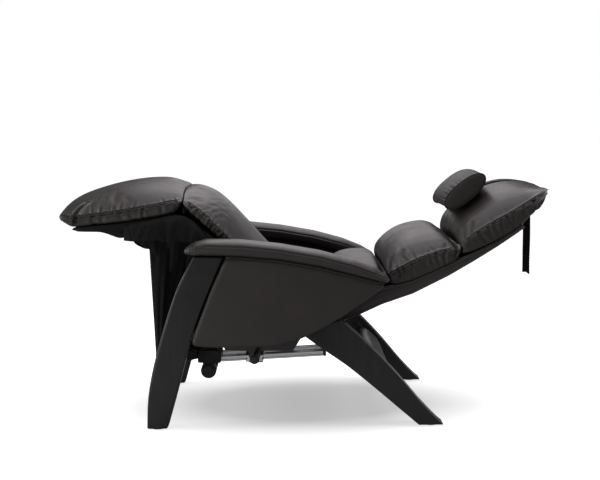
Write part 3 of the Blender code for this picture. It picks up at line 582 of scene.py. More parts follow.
def hang(name, rows, finish, body, stands_for=(), thickness=FABRIC):
    """A thin sheet of cloth. The size it was cut to is worked out and not kept."""
    obj = sheet_object(name, rows, thickness)
    done(obj, finish, body, stands_for)
    flat_size(rows)
    return obj


# ---------------- cushions
class Cushion:
    """One padded leather cushion, from its CAD solid to its stitches.

    seam: (y, z) points of the long seam on both sides. clear: planes it may not cross, each a (y, z)
    point and a (y, z) direction that leaves the cushion. upper and lower: the puckers above and below
    the seam, as spacing, reach, size and width. folds: extra creases, each a path of (x, y, z)
    points, a width and a depth, made on both sides. lifts: places that are shifted, each a centre,
    (x, y, z) reaches and a (y, z) shift. calm is how many times the simulated folds are smoothed out.
    """

    def __init__(self, node, name, seam, clear, seed, upper, lower, folds=(), lifts=(), calm=4):
        self.node, self.name, self.clear = node, name, clear
        self.lifts, self.calm = lifts, calm
        self.draw = random.Random(seed)
        self.upper, self.lower, self.folds = upper, lower, folds
        self.line = [(y, z) for _, y, z in side_curve(seam)]

    def seams_on(self, obj):
        """The long seams, left then right, where they lie on obj's sides."""
        skin = surface_of(obj)
        found = []
        for _, sign in SIDES:
            chain = [ray_hit(skin, (sign * 0.4, y, z), (-sign, 0, 0)) for y, z in self.line]
            found.append(smoothed(chain, 8))
        return found

    def inflate(self):
        """Holds the seams and the underside, lets the rest swell, then refines and creases it."""
        self.obj = obj = soft_copy(self.node, self.name, VOXEL, 3)
        rest = points_of(obj)
        normals = normals_of(obj)
        gap = field(rest, self.seams_on(obj))[0]
        held = np.clip(1 - (gap - 0.003) / 0.008, 0, 1)
        held = np.maximum(held, np.clip((-normals[:, 2] - 0.35) * 4, 0, 1))
        start = rest - normals * (INSET * (1 - held))[:, None]
        move_points(obj, start)
        self.simulate(obj, held)
        shift = points_of(obj) - start
        length = np.linalg.norm(shift, axis=1)
        shift *= (np.minimum(length, SWELL) / np.maximum(length, 1e-9))[:, None]
        move_points(obj, start + shift)
        relax(obj, self.calm)
        subdivide(obj)
        self.lift(obj)
        relax(obj, 3)
        self.stay_clear(obj)
        self.seams = self.seams_on(obj)
        skin = surface_of(obj)
        self.creases = []
        for path, width, depth in self.folds:
            for _, sign in SIDES:
                chain = curve_through([(sign * x, y, z) for x, y, z in path])
                on_skin = [skin.find_nearest(p)[0] for p in chain]
                self.creases.append((smoothed(on_skin, 1), width, depth))
        self.refine(obj, 0.020)
        self.refine(obj, 0.008)
        self.crease(obj)

    def lift(self, obj):
        points = points_of(obj)
        for (x, y, z), (reach_x, reach_y, reach_z), (dy, dz) in self.lifts:
            away = ((points[:, 1] - y) / reach_y) ** 2 + ((points[:, 2] - z) / reach_z) ** 2
            away += ((np.abs(points[:, 0]) - x) / reach_x) ** 2
            share = np.exp(-away)
            points[:, 1] += dy * share
            points[:, 2] += dz * share
        move_points(obj, points)

    def simulate(self, obj, held):
        group = obj.vertex_groups.new(name="held")
        for level in range(1, 11):
            chosen = np.nonzero(np.round(held * 10) == level)[0].tolist()
            if chosen:
                group.add(chosen, level / 10, "REPLACE")
        cloth = obj.modifiers.new("cloth", "CLOTH")
        settings = cloth.settings
        settings.quality = 4
        settings.mass = 0.35
        settings.use_pressure = True
        settings.uniform_pressure_force = PRESSURE
        settings.tension_stiffness = settings.compression_stiffness = 22
        settings.shear_stiffness = 12
        settings.bending_stiffness = 2.6
        settings.shrink_min = settings.shrink_max = -SPARE_LEATHER
        settings.vertex_group_mass = "held"
        settings.pin_stiffness = 6.0
        settings.effector_weights.gravity = 0
        cloth.collision_settings.use_collision = False
        scene = bpy.context.scene
        for frame_number in range(1, SIM_FRAMES + 1):
            scene.frame_set(frame_number)
        applied(obj)
        scene.frame_set(1)

    def refine(self, obj, reach):
        """Halves the mesh beside the seams and folds, where the creases are fine."""
        paths = self.seams + [path for path, *_ in self.creases]
        near = field(points_of(obj), paths)[0] < reach
        bm = bmesh.new()
        bm.from_mesh(obj.data)
        bm.verts.ensure_lookup_table()
        edges = [e for e in bm.edges if near[e.verts[0].index] and near[e.verts[1].index]]
        bmesh.ops.subdivide_edges(bm, edges=edges, cuts=1, use_grid_fill=True)
        bm.to_mesh(obj.data)
        bm.free()

    def crease(self, obj):
        """Sinks the seams, puckers the leather beside them and folds it where it gathers."""
        points = points_of(obj)
        gap, along, which, above = field(points, self.seams)
        length = CHAIN_STEP * (len(self.line) - 1)
        ends = np.clip(np.minimum(along, length - along) / 0.024, 0, 1)
        depth = GROOVE * dip(gap - ROW_OFF, 0.0019)
        depth -= HEAP * dip(gap - 2.3 * ROW_OFF, 0.0030)
        for side in (0, 1):
            for zone, here in ((self.upper, above > 0), (self.lower, above <= 0)):
                depth += pucker(self.draw, gap, along, here & (which == side), length, zone)
        depth *= ends
        for path, width, size in self.creases:
            away, share, *_ = field(points, [path])
            share = share / (CHAIN_STEP * (len(path) - 1))
            taper = np.sqrt(np.clip(4 * share * (1 - share), 0.02, 1))
            depth += size * taper * fold(away, width)
        sink(obj, depth)

    def stay_clear(self, obj):
        """Presses flat what would lie beyond a neighbour's face."""
        points = points_of(obj)
        for (y, z), (dy, dz) in self.clear:
            size = math.hypot(dy, dz)
            over = ((points[:, 1] - y) * dy + (points[:, 2] - z) * dz) / size
            back = pressed(over, 0.004) - over
            points[:, 1] += back * dy / size
            points[:, 2] += back * dz / size
        over = np.abs(points[:, 0]) - CUSHION_LIMIT
        points[:, 0] += (pressed(over, 0.010) - over) * np.sign(points[:, 0])
        move_points(obj, points)

    def finish(self):
        body = BODY_OF[self.node]
        done(self.obj, "leather", body, (self.node,))
        skin = surface_of(self.obj)
        places = []
        for chain in self.seams:
            places += rows_along(skin, chain[3:-3], (ROW_OFF, -ROW_OFF))
        stitches(f"{self.name}_stitching", places, body)


def gathers(corner, lean, count, step, width, depth):
    """Short parallel folds that run inwards from a corner, one above the other."""
    x, y, z = corner
    dy, dz = lean
    made = []
    for low in (z + k * step for k in range(count)):
        path = ((x, y, low), (x - 0.018, y + dy, low + dz), (x - 0.042, y + 2 * dy, low + 1.6 * dz))
        made.append((path, width, depth))
    return made


def make_cushions():
    """From the feet to the head: calf, thigh, pelvic, lumbar and head cushion."""
    nose = gathers((0.268, -0.808, 0.684), (-0.003, 0.004), 4, 0.0090, 0.0026, 0.0022)
    corner = [((0.288, -0.766, 0.668), (0.287, -0.767, 0.698), (0.276, -0.766, 0.722),
               (0.256, -0.756, 0.746), (0.232, -0.738, 0.766)), 0.0050, 0.0110]
    knee = [[((x, -0.388, 0.770), (x + 0.006, -0.368, 0.780), (x - 0.006, -0.330, 0.775)),
             0.0095, 0.0016] for x in (0.240, 0.180, 0.100)]
    lumbar = [[((0.272, 0.264 + d, 0.510 + 0.5 * d), (0.266, 0.262 + 1.4 * d, 0.545 + 0.6 * d),
                (0.250, 0.268 + 1.8 * d, 0.575 + 0.7 * d)), 0.0090, 0.0030]
              for d in (0.000, 0.030)]
    head_low = [[((0.274, 0.516 + d, 0.606 + 0.5 * d), (0.266, 0.512 + d, 0.634 + 0.9 * d),
                  (0.250, 0.520 + 1.2 * d, 0.662 + 1.0 * d)), 0.0085, 0.0028]
                for d in (0.000, 0.024)]
    made = [
        Cushion("legrest_cushion", "calf_cushion",
                ((-0.808, 0.699), (-0.760, 0.695), (-0.700, 0.705), (-0.600, 0.715), (-0.500, 0.734),
                 (-0.450, 0.747), (-0.409, 0.750)),
                [((-0.4082, 0.75), (1, 0.0))], 3, (0.038, 0.016, 0.0030, 0.0040),
                (0.044, 0.034, 0.0050, 0.0060), [corner] + nose,
                [((0, -0.418, 0.775), (WIDE, 0.032, 0.036), (0.024, 0.002)),
                 ((0, -0.822, 0.664), (WIDE, 0.030, 0.020), (0.014, 0.004)),
                 ((0, -0.820, 0.696), (WIDE, 0.030, 0.024), (-0.009, -0.003))], calm=14),
        Cushion("seat_cushion", "thigh_cushion",
                ((-0.406, 0.749), (-0.377, 0.734), (-0.330, 0.697), (-0.260, 0.624), (-0.180, 0.553),
                 (-0.090, 0.482), (-0.005, 0.440)),
                [((-0.4064, 0.75), (-1, 0.0)), ((0.020, 0.44), (1, 0.1))], 5,
                (0.030, 0.018, 0.0018, 0.0050), (0.0115, 0.040, 0.0060, 0.0034), knee,
                [((0, -0.398, 0.760), (WIDE, 0.036, 0.040), (-0.026, 0.012))]),
        Cushion("lower_back_cushion", "pelvic_cushion",
                ((0.036, 0.432), (0.120, 0.452), (0.200, 0.466), (0.262, 0.480)),
                [((0.028, 0.44), (-1, -0.1)), ((0.2545, 0.515), (0.90, 0.44))], 7,
                (0.030, 0.020, 0.0020, 0.0050), (0.022, 0.026, 0.0034, 0.0046),
                lifts=[((0, 0.235, 0.525), (WIDE, 0.040, 0.040), (0.010, 0.010))]),
        Cushion("mid_back_cushion", "lumbar_cushion",
                ((0.262, 0.481), (0.293, 0.500), (0.378, 0.542), (0.414, 0.558), (0.477, 0.578),
                 (0.495, 0.578), (0.506, 0.570)),
                [((0.2560, 0.515), (-0.90, -0.44)), ((0.4955, 0.604), (0.90, 0.42))], 11,
                (0.027, 0.026, 0.0026, 0.0056), (0.024, 0.032, 0.0056, 0.0046), lumbar),
        Cushion("head_cushion", "head_cushion_cover",
                ((0.508, 0.580), (0.531, 0.601), (0.562, 0.625), (0.611, 0.653), (0.651, 0.673),
                 (0.750, 0.730), (0.786, 0.748)),
                [((0.4975, 0.605), (-0.90, -0.42))], 13, (0.060, 0.018, 0.0018, 0.0060),
                (0.030, 0.032, 0.0056, 0.0050), head_low,
                [((0.256, 0.806, 0.756), (0.060, 0.055, 0.045), (0.004, 0.016)),
                 ((0, 0.710, 0.790), (0.050, 0.110, 0.060), (0.000, -0.009)),
                 ((0, 0.700, 0.790), (WIDE, 0.075, 0.060), (0.000, -0.006)),
                 ((0, 0.565, 0.735), (WIDE, 0.050, 0.050), (0.003, -0.006))], calm=6),
    ]
    for cushion in made:
        cushion.inflate()
        cushion.finish()


# ---------------- other upholstery
def make_arm_covers():
    """Padded arms: a leather top sewn to a boxing strip, gathered at both tips."""
    for count, (side, _) in enumerate(SIDES):
        node = f"{side}_arm_pad"
        low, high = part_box(node)
        middle = (low.x + high.x) / 2
        obj = subdivide(soft_copy(node, f"{side}_arm_cover", 0.0046, 4))
        bent = points_of(obj)
        bent[:, 2] -= ARM_DROOP * np.clip((low.y + TIP_LONG - bent[:, 1]) / TIP_LONG, 0, 1) ** 2
        move_points(obj, bent)
        skin = surface_of(obj)
        halves = {1: [], -1: []}
        for y in np.arange(low.y + 0.006, high.y - 0.005, CHAIN_STEP):
            top = ray_hit(skin, (middle, y, 1.0), (0, 0, -1)).z
            base = ray_hit(skin, (middle, y, 0.2), (0, 0, 1)).z
            z = base + 0.60 * (top - base)
            for outer in halves:
                start = (middle + outer * 0.1, y, z)
                halves[outer].append(ray_hit(skin, start, (-outer, 0, 0)))
        draw = random.Random(31 + count)
        points = points_of(obj)
        gap, along, _, above = field(points, list(halves.values()))
        depth = 0.0020 * dip(gap, 0.0022) - 0.0009 * dip(gap - 0.005, 0.003)
        length = CHAIN_STEP * len(halves[1])
        tip = np.minimum(along, length - along) < 0.045
        for zone, here in (((0.0075, 0.012, 0.0022, 0.0022), tip),
                           ((0.060, 0.010, 0.0009, 0.0040), ~tip)):
            depth += pucker(draw, gap, along, here, length, zone)
        sink(obj, depth)
        done(obj, "leather", BODY_OF[node], (node,))
        skin = surface_of(obj)
        places = []
        for half in halves.values():
            for part in (half[1:13], half[-26:-1]):
                places += rows_along(skin, part, (0.0040,), 0.0056)
        stitches(f"{side}_arm_stitching", places, BODY_OF[node], 0.0038)


def make_arm_rails():
    """The wooden rail that each arm pad is screwed down on, let into the panel's top edge."""
    for side, sign in SIDES:
        pad = surface_of(NODES[f"{side}_arm_pad"])
        panel = surface_of(NODES[f"{side}_side_panel"])
        rings = []
        for y in np.arange(-0.262, 0.236, 0.008):
            top = ray_hit(pad, (sign * 0.3870, y, 0.3), (0, 0, 1)).z + 0.0020
            base = min(ray_hit(panel, (sign * 0.3870, y, 0.9), (0, 0, -1)).z - 0.0040, top - 0.004)
            rings.append([Vector((sign * x, y, z)) for x, z in
                          ((0.3740, base), (0.3990, base), (0.3995, top - 0.003), (0.3970, top),
                           (0.3760, top), (0.3735, top - 0.003))])
        done(from_rings(f"{side}_arm_rail", rings), "black_wood", "base")


def make_side_panels():
    """Leather wrapped over board: flat faces, edges worn round."""
    for side, _ in SIDES:
        node = f"{side}_side_panel"
        obj = soft_copy(node, f"{side}_panel_cover", 0.0042, 5)
        done(obj, "flat_leather", BODY_OF[node], (node,))


def make_back_shell():
    """The leather-covered back, piped along its rim and sewn in three panels behind."""
    obj = soft_copy("back_shell", "back_shell_cover", 0.0036, 4)
    skin = surface_of(obj)
    low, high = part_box("back_shell")
    half = high.x
    rims, seams = [], []
    for _, sign in SIDES:
        rim, seam = [], []
        for y in np.arange(low.y + 0.010, high.y - 0.006, 0.006):
            rim.append(ray_hit(skin, (sign * (half - 0.0035), y, 1.0), (0, 0, -1)))
            seam.append(ray_hit(skin, (sign * 0.190, y, 0.0), (0, 0, 1)))
        rims.append([p + Vector((sign * 0.0030, 0, -0.0006)) for p in smoothed(rim, 3)])
        seams.append(spaced(seam, CHAIN_STEP))
    gap, *_ = field(points_of(obj), seams)
    sink(obj, 0.0016 * dip(gap, 0.003))
    done(obj, "flat_leather", "back_group", ("back_shell",))
    welt("back_shell_piping", rims, WELT, "leather", "back_group")
    beads = [[p + Vector((-math.copysign(0.0125, p.x), 0, 0.0020)) for p in rim] for rim in rims]
    welt("back_shell_bead", beads, 0.0066, "leather", "back_group")
    places = []
    skin = surface_of(obj)
    for seam in seams:
        places += rows_along(skin, seam[2:-2], (0.0045, -0.0045), 0.0085)
    stitches("back_shell_stitching", places, "back_group")


def gusset(name, centre, lean, tall, thick, half, body, draw):
    """A rounded leather strip that fills the bottom of a crease between two cushions."""
    up = Vector((0, math.cos(lean), math.sin(lean)))
    across = Vector((0, -up.z, up.y))
    rings = []
    for x in np.linspace(-half, half, 60):
        end = 1 - 0.55 * abs(x / half) ** 14
        size = thick * draw.uniform(0.8, 1.2)
        middle = Vector((x, *centre)) + across * 0.0008 * math.sin(x * 60)
        rings.append([middle + up * (tall * end * math.cos(a)) + across * (size * end * math.sin(a))
                      for a in around(14)])
    done(from_rings(name, rings), "leather", body)


def tongue(name, path, half):
    """A thin leather strip folded down between two cushions that a hinge parts."""
    base = min(z for _, z in path)
    rows = []
    for _, y, z in spaced([(0, *p) for p in path], 0.004):
        rows.append([Vector((x, y, base + (z - base) * (1 - 0.75 * abs(x / half) ** 4)))
                     for x in np.linspace(-half, half, 40)])
    obj = sheet_object(name, rows, 0.0009)
    done(obj, "leather")
    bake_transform(obj)


def make_fillers():
    """What closes the gaps between the cushions."""
    draw = random.Random(17)
    gusset("pelvic_crease_gusset", (0.2585, 0.472), math.radians(64), 0.028, 0.0075, 0.280,
           "back_group", draw)
    gusset("lumbar_crease_gusset", (0.5075, 0.559), math.radians(65), 0.034, 0.0085, 0.280,
           "back_group", draw)
    knee = [(-0.4079, 0.774), (-0.4079, 0.706), (-0.40725, 0.7025), (-0.4066, 0.706),
            (-0.4066, 0.774)]
    tongue("knee_tongue", knee, 0.262)
    hip = [(-0.008, 0.428), (0.004, 0.416), (0.016, 0.4115), (0.028, 0.415), (0.036, 0.428)]
    tongue("hip_tongue", hip, 0.268)


def make_rear_beam():
    """The rear beam in its leather, sewn along the middle."""
    obj = soft_copy("rear_cross_beam", "rear_beam_cover", 0.0052, 3)
    draw = random.Random(23)
    points = points_of(obj)
    seam = [Vector((x, 0.2515, 0.1300)) for x in np.arange(-0.300, 0.301, CHAIN_STEP)]
    gap, along, *_ = field(points, [seam])
    here = np.ones(len(points), bool)
    depth = 0.0014 * dip(gap, 0.004)
    sink(obj, depth + pucker(draw, gap, along, here, 0.6, (0.040, 0.020, 0.0012, 0.005)))
    done(obj, "leather", "base", ("rear_cross_beam",))


def make_pillow():
    """A bolster with piped oval ends, its leather gathered into the piping."""
    low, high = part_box("head_pillow")
    centre = (low + high) / 2 + Vector((0, *PILLOW_SINK))
    long_way = Vector((0, math.cos(PILLOW_SLOPE), math.sin(PILLOW_SLOPE)))
    thick_way = Vector((0, -math.sin(PILLOW_SLOPE), math.cos(PILLOW_SLOPE)))
    cap_at = high.x - 0.0065
    draw = random.Random(41)
    waves = [(draw.uniform(0, math.tau), count) for count in (19, 27, 34)]
    sizes = [draw.uniform(0.4, 1.0) for _ in range(24)]

    def ring(x, size):
        gathered = math.exp(-(cap_at - abs(x)) / 0.042) * (abs(x) < cap_at - 0.001)
        full = PILLOW_CROWN * max(0.0, 1 - (x / cap_at) ** 2) ** 0.7
        made = []
        for k, angle in enumerate(around(160)):
            ripple = sum(math.sin(count * angle + start + 8 * x) for start, count in waves)
            scale = size - 0.055 * sizes[k * 24 // 160] * gathered * (1 + ripple / 2)
            u = PILLOW_LONG * scale * math.copysign(abs(math.cos(angle)) ** 0.85, math.cos(angle))
            v = PILLOW_THICK * scale * math.sin(angle) + full * (0.6 + 0.4 * math.sin(angle))
            made.append(centre + Vector((x, 0, 0)) + long_way * u + thick_way * v)
        return made

    body = [(x, 1.01 - 0.025 * (x / cap_at) ** 2) for x in np.linspace(0, cap_at, 60)]
    cap = [(cap_at + 0.0065 * math.sin(a), 0.985 * math.cos(a) ** 0.6)
           for a in np.linspace(0.05, 1.45, 12)]
    half = body + cap
    stations = [(-x, size) for x, size in half[:0:-1]] + half
    obj = from_rings("head_pillow_cover", [ring(x, size) for x, size in stations])
    done(obj, "dull_leather", "pillow_group", ("head_pillow",))
    pipes = [ring(sign * cap_at, 1.000) for _, sign in SIDES]
    welt("head_pillow_piping", pipes, 0.0024, "dark_piping", "pillow_group", loop=True)


def band_rings(path, half, thick, wave):
    """Rings of a flat band with rolled edges, as wide as 2 * half along x."""
    rings = []
    path = [Vector((0, *p)) for p in path]
    last = len(path) - 1
    for i, p in enumerate(path):
        ahead = (path[min(i + 1, last)] - path[max(i - 1, 0)]).normalized()
        off = Vector((0, -ahead.z, ahead.y))
        ring = []
        for a in around(20):
            c, s = math.cos(a), math.sin(a)
            x = half * math.copysign(abs(c) ** 0.35, c)
            ripple = wave * math.sin(x * 150 + i * 0.35)
            edge = 1.0 + 0.35 * (abs(x) > 0.86 * half)
            ring.append(p + Vector((x, 0, 0)) + off * (thick * edge * math.copysign(abs(s) ** 0.6, s)
                                                       + ripple))
        rings.append(ring)
    return rings


def make_straps():
    """The pillow's strap over the head cushion, and its loose end behind the back."""
    skin = surface_of(bpy.data.objects["head_cushion_cover"])
    over = [ray_hit(skin, (0, y, 1.2), (0, 0, -1)) + Vector((0, 0, 0.0028))
            for y in np.arange(0.590, 0.806, 0.012)]
    behind = [ray_hit(skin, (0, 1.2, z), (0, -1, 0)) + Vector((0, 0.0018, 0))
              for z in (0.764, 0.752, 0.740, 0.728)]
    turned = over + behind + [Vector((0, *p)) for p in STRAP_END]
    path = [(p.y, p.z) for p in curve_through(turned, 0.003)]
    strap = from_rings("pillow_strap_webbing", band_rings(path, 0.025, 0.0019, 0.0004))
    done(strap, "webbing", "back_group", ("pillow_strap",))
    low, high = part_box("strap_tail")
    y_top, z_top = (low.y + high.y) / 2, high.z
    drop = high.z - low.z - 0.002
    rows = []
    for t in np.linspace(0, 1, 46):
        turn = 0.35 * math.sin(2.4 * t) + 0.10 * math.sin(9 * t)
        half = 0.0135 * min(1.0, 0.32 + 6 * t)
        z = z_top - drop * t
        row = []
        for s in np.linspace(-1, 1, 9):
            ragged = 0.010 * max(0.0, s) * (t > 0.97) - 0.003 * (t > 0.97)
            crease = 0.0016 * math.exp(-((t - 0.57) / 0.012) ** 2)
            row.append(Vector((half * s * math.sin(turn) * 0.4 + crease,
                               y_top + half * s * math.cos(turn) + 0.001 * math.sin(5 * t),
                               z - ragged)))
        rows.append(row)
    hang("strap_tail_webbing", rows, "webbing", "strap_group",
         ("strap_tail",), 0.0018)


# ---------------- fabric under the legrest
def make_curtain():
    """The black curtain that hides the works: vertical folds, a doubled hem."""
    low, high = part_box("front_curtain")
    rows = []
    for t in np.linspace(0, 1, 48):
        z = low.z + (high.z - low.z - 0.004) * t
        front = -0.505 - 0.019 * t
        row = []
        for x in np.linspace(-0.264, 0.264, 120):
            ripple = (0.0048 * math.sin(x * 74 + 0.6 * math.sin(x * 21) + 0.9 * t)
                      + 0.0026 * math.sin(x * 163 + 2.2 * t))
            hem = 0.0010 * (t < 0.05)
            row.append(Vector((x, front - 0.001 + ripple * (0.55 + 0.45 * (1 - t)) - hem, z)))
        rows.append(row)
    obj = hang("front_curtain_cloth", rows, "curtain_fabric", "base",
               ("front_curtain",))
    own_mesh(obj)


def make_curtain_returns():
    """The curtain's side parts, which turn back behind the front legs in loose folds."""
    for side, sign in SIDES:
        rows = []
        for t in np.linspace(0, 1, 50):
            z = 0.212 + 0.400 * t
            front, rear = -0.505 - 0.017 * t, -0.455 + 0.098 * t
            row = []
            for s in np.linspace(0, 1, 44):
                out = 0.266 + 0.030 * math.sin(min(1.0, 3.2 * s) * math.pi / 2)
                ripple = (0.0032 * math.sin(17 * s + 3.0 * t)
                          + 0.0024 * math.sin(31 * s - 5.0 * t)) * min(1.0, 6 * s)
                row.append(Vector((sign * (out + ripple), front + (rear - front) * s, z)))
            rows.append(row)
        obj = hang(f"{side}_curtain_return", rows, "curtain_fabric", "base")
        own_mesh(obj)


def make_knee_drapes():
    """Fabric that hangs beside the knee, from the legrest pan and the seat cushion's edge."""
    top = side_curve([(-0.588, 0.668), (-0.520, 0.680), (-0.455, 0.697), (-0.408, 0.704),
                      (-0.376, 0.684), (-0.338, 0.636), (-0.318, 0.610)], 0.005)
    under = side_curve([(-0.588, 0.640), (-0.568, 0.614), (-0.540, 0.598), (-0.512, 0.590),
                        (-0.474, 0.530), (-0.436, 0.470), (-0.396, 0.452), (-0.352, 0.500),
                        (-0.318, 0.560)], 0.005)
    count = len(top)
    under = spaced(under, length_of(under) / (count - 1))[:count]
    for side, sign in SIDES:
        rows = []
        for t in np.linspace(0, 1, 40):
            row = []
            for i, (a, b) in enumerate(zip(top, under)):
                s = i / (count - 1)
                p = a.lerp(b, t)
                ridge = abs(math.sin(12 * s + 1.3 * t + 0.5 * math.sin(5 * t))) ** 0.8
                swing = (0.0120 * (0.6 - ridge) + 0.0035 * math.sin(47 * s - 6 * t)
                         + 0.0016 * math.sin(80 * s + 7 * t)) * min(1.0, 0.35 + 2.5 * t)
                x = 0.2915 + 0.0025 * math.sin(math.pi * min(1.0, t * 1.2)) + swing
                x = min(max(x, 0.2855), 0.3030) - 0.014 * max(0.0, 1 - t / 0.12) ** 2
                row.append(Vector((sign * x, p.y, p.z)))
            rows.append(row)
        obj = hang(f"{side}_knee_drape", rows, "drape_fabric", None)
        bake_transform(obj)


def make_knee_bands():
    """The lining's hem, a doubled band that runs back from the pan beside the knee drape."""
    for side, sign in SIDES:
        rows = []
        for t in np.linspace(0, 1, 16):
            row = []
            for s in np.linspace(0, 1, 40):
                y = -0.606 + 0.156 * s
                top, base = 0.6640 + 0.014 * s, 0.6180 + 0.008 * s - 0.006 * math.sin(math.pi * s)
                pull = 0.0016 * math.sin(34 * s + 5 * t) + 0.0012 * math.sin(61 * s - 8 * t)
                bulge = math.sin(math.pi * s) ** 0.7
                x = 0.2760 + 0.0280 * bulge + pull * bulge
                row.append(Vector((sign * (x + 0.0012 * (t > 0.82)), y, top + (base - top) * t)))
            rows.append(row)
        hang(f"{side}_knee_band", rows, "drape_fabric", "legrest_group")


def make_legrest_apron():
    """Slack fabric below the legrest frame, between the pan and the curtain's top."""
    path = side_curve([(-0.586, 0.648), (-0.582, 0.626), (-0.566, 0.606), (-0.545, 0.593),
                       (-0.524, 0.588), (-0.504, 0.594), (-0.488, 0.612), (-0.470, 0.634),
                       (-0.452, 0.640)], 0.005)
    rows = []
    for i, p in enumerate(path):
        t = i / (len(path) - 1)
        slack = math.sin(math.pi * t)
        rows.append([Vector((x, p.y + 0.004 * slack * math.sin(x * 61 + 2 * t),
                             p.z + slack * (0.005 * math.sin(x * 83 + 4 * t)
                                            + 0.0025 * math.sin(x * 171 - 3 * t))))
                     for x in np.linspace(-0.289, 0.289, 110)])
    obj = hang("legrest_apron", rows, "drape_fabric", "legrest_group")
    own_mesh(obj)


def make_legrest_pan():
    """The legrest board in its lining, which is drawn down over the front of the frame."""
    top = [(-0.440, 0.7020), (-0.470, 0.6945), (-0.520, 0.6865), (-0.605, 0.6755),
           (-0.706, 0.6675), (-0.786, 0.6620), (-0.802, 0.6585)]
    under = [(-0.796, 0.6545), (-0.7475, 0.6490), (-0.672, 0.6460), (-0.641, 0.6330),
             (-0.612, 0.6190), (-0.600, 0.6175), (-0.5915, 0.6230), (-0.5895, 0.6400),
             (-0.5890, 0.6600), (-0.5800, 0.6640), (-0.480, 0.6780), (-0.440, 0.6880)]
    outline = side_curve(top + under + top[:1], 0.006)[:-1]
    half = 0.2735
    rings = []
    for x in np.linspace(-1, 1, 90):
        pinch = 1 - 0.015 * abs(x) ** 10
        centre = Vector((0, -0.61, 0.665))
        ring = []
        for p in outline:
            sag = 0.0018 * math.sin(x * 23 + p.y * 40) * (p.z < 0.652)
            q = centre + (p - centre) * pinch
            ring.append(Vector((half * x, q.y, q.z + sag)))
        rings.append(ring)
    obj = from_rings("legrest_pan", rings)
    done(obj, "lining_fabric", "legrest_group", ("legrest_board",))
    edge = side_curve([(-0.5905, 0.664), (-0.5925, 0.640), (-0.594, 0.621)])
    pipes = [[Vector((sign * 0.2745, y, z)) for _, y, z in edge] for _, sign in SIDES]
    welt("legrest_pan_piping", pipes, 0.0010, "drape_fabric", "legrest_group")


def make_seat_deck():
    """The lining stretched under the seat cushion, a little slack."""
    obj = subdivide(soft_copy("seat_deck", "seat_deck_lining", 0.0062, 2))
    points = points_of(obj)
    sag = (0.0012 * np.sin(points[:, 0] * 70) * np.sin(points[:, 1] * 55)
           + 0.0008 * np.sin(points[:, 0] * 31 + points[:, 1] * 90))
    sink(obj, np.clip(sag, 0, 1) + 0.0002)
    done(obj, "lining_fabric", "seat_group", ("seat_deck",))


# ---------------- carried-over CAD nodes
def refine_cad(name, node):
    """Paints a CAD node and rounds how its edges catch the light. Its own mesh stays as it is."""
    node.data.shade_smooth()
    node.modifiers.new("join", "WELD").merge_threshold = 1e-5
    if SLOT_OF[name] != "black_wood":
        edges = node.modifiers.new("edges", "BEVEL")
        edges.width, edges.segments, edges.limit_method = 0.0006, 2, "ANGLE"
        edges.angle_limit = math.radians(38)
    weighted = node.modifiers.new("shade", "WEIGHTED_NORMAL")
    weighted.keep_sharp = False
    weighted.weight = 80
    node.data.materials.clear()
    node.data.materials.append(MATERIALS[SLOT_OF[name]])


# ---------------- stage
def make_camera():
    """A long lens, level with the seat's side and turned a little down."""
    ahead = Vector((-math.cos(CAMERA_PITCH) * math.cos(CAMERA_YAW),
                    math.cos(CAMERA_PITCH) * math.sin(CAMERA_YAW), -math.sin(CAMERA_PITCH)))
    level = ahead.cross(Vector((0, 0, 1))).normalized()
    upright = level.cross(ahead)
    right = level * math.cos(CAMERA_ROLL) + upright * math.sin(CAMERA_ROLL)
    up = upright * math.cos(CAMERA_ROLL) - level * math.sin(CAMERA_ROLL)
    data = bpy.data.cameras.new("camera")
    data.lens, data.sensor_width = LENS, SENSOR
    camera = link(bpy.data.objects.new("camera", data))
    turn = Matrix((right, up, -ahead)).transposed().to_4x4()
    camera.matrix_world = Matrix.Translation(CAMERA_AT) @ turn
    bpy.context.scene.camera = camera


def softbox(name, place, target, size, power, colour):
    data = bpy.data.lights.new(name, "AREA")
    data.shape = "RECTANGLE"
    data.size, data.size_y = size
    data.energy, data.color = power, colour
    light = link(bpy.data.objects.new(name, data))
    light.location = place
    light.rotation_euler = (Vector(target) - Vector(place)).to_track_quat("-Z", "Y").to_euler()


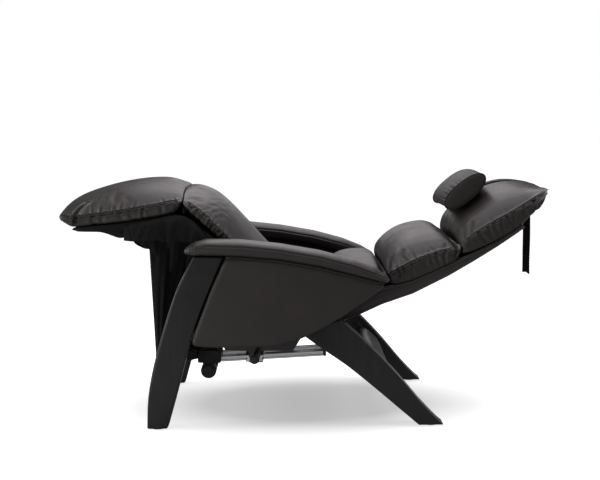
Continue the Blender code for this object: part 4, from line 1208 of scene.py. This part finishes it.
def make_floor():
    """A pale floor. Its own light, which only the camera sees, is dimmer in an oval round the chair, a
    painted shadow under it, and grows into a white surround.
    """
    mesh = bpy.data.meshes.new("floor")
    corners = [(x * FLOOR_REACH, y * FLOOR_REACH, 0) for x, y in ((-1, -1), (1, -1), (1, 1), (-1, 1))]
    mesh.from_pydata(corners, [], [(0, 1, 2, 3)])
    floor = link(bpy.data.objects.new("floor", mesh))
    paint = Paint("pale_floor", (0.62, 0.62, 0.62), 0.9, Specular_IOR_Level=0.05)
    paint.set("Emission Color", (1, 1, 1, 1))
    # The camera-only light is dimmed in an oval round the chair and full further out: a painted shadow
    # under the chair.
    oval = paint.stretched((1.5, 1.2, 1.0))
    distance = paint.node("VectorMath", {0: oval}, operation="LENGTH").outputs["Value"]
    light_with_painted_shadow = paint.ramp(distance, 0.42, 0.98, FLOOR_LIGHT_IN_PAINTED_SHADOW, 1.0)
    seen = paint.node("LightPath").outputs["Is Camera Ray"]
    both = paint.node("Math", {0: light_with_painted_shadow, 1: seen}, operation="MULTIPLY").outputs[0]
    paint.join(both, "Emission Strength")
    mesh.materials.append(paint.material)


def make_surround():
    """White to the eye, dim as a light, so that the softboxes draw the shapes."""
    world = bpy.data.worlds.new("surround")
    bpy.context.scene.world = world
    world.use_nodes = True
    tree = world.node_tree
    tree.nodes.clear()
    mixed = tree.nodes.new("ShaderNodeMixShader")
    for socket, strength in ((1, WORLD_LIGHT), (2, 1.0)):
        plain = tree.nodes.new("ShaderNodeBackground")
        plain.inputs["Color"].default_value = (1, 1, 1, 1)
        plain.inputs["Strength"].default_value = strength
        tree.links.new(plain.outputs[0], mixed.inputs[socket])
    path = tree.nodes.new("ShaderNodeLightPath")
    out = tree.nodes.new("ShaderNodeOutputWorld")
    tree.links.new(path.outputs["Is Camera Ray"], mixed.inputs["Fac"])
    tree.links.new(mixed.outputs[0], out.inputs["Surface"])


def make_stage():
    bpy.context.scene.view_settings.view_transform = "Standard"
    make_floor()
    make_surround()
    for lamp in LAMPS:
        softbox(*lamp)


# ---------------- all of it
def main():
    make_camera()
    make_stage()
    make_cushions()
    make_fillers()
    make_arm_covers()
    make_arm_rails()
    make_side_panels()
    make_back_shell()
    make_rear_beam()
    make_pillow()
    make_straps()
    make_curtain()
    make_curtain_returns()
    make_knee_drapes()
    make_knee_bands()
    make_legrest_apron()
    make_legrest_pan()
    make_seat_deck()
    for name, node in NODES.items():
        if not node.hide_render:
            refine_cad(name, node)


main()
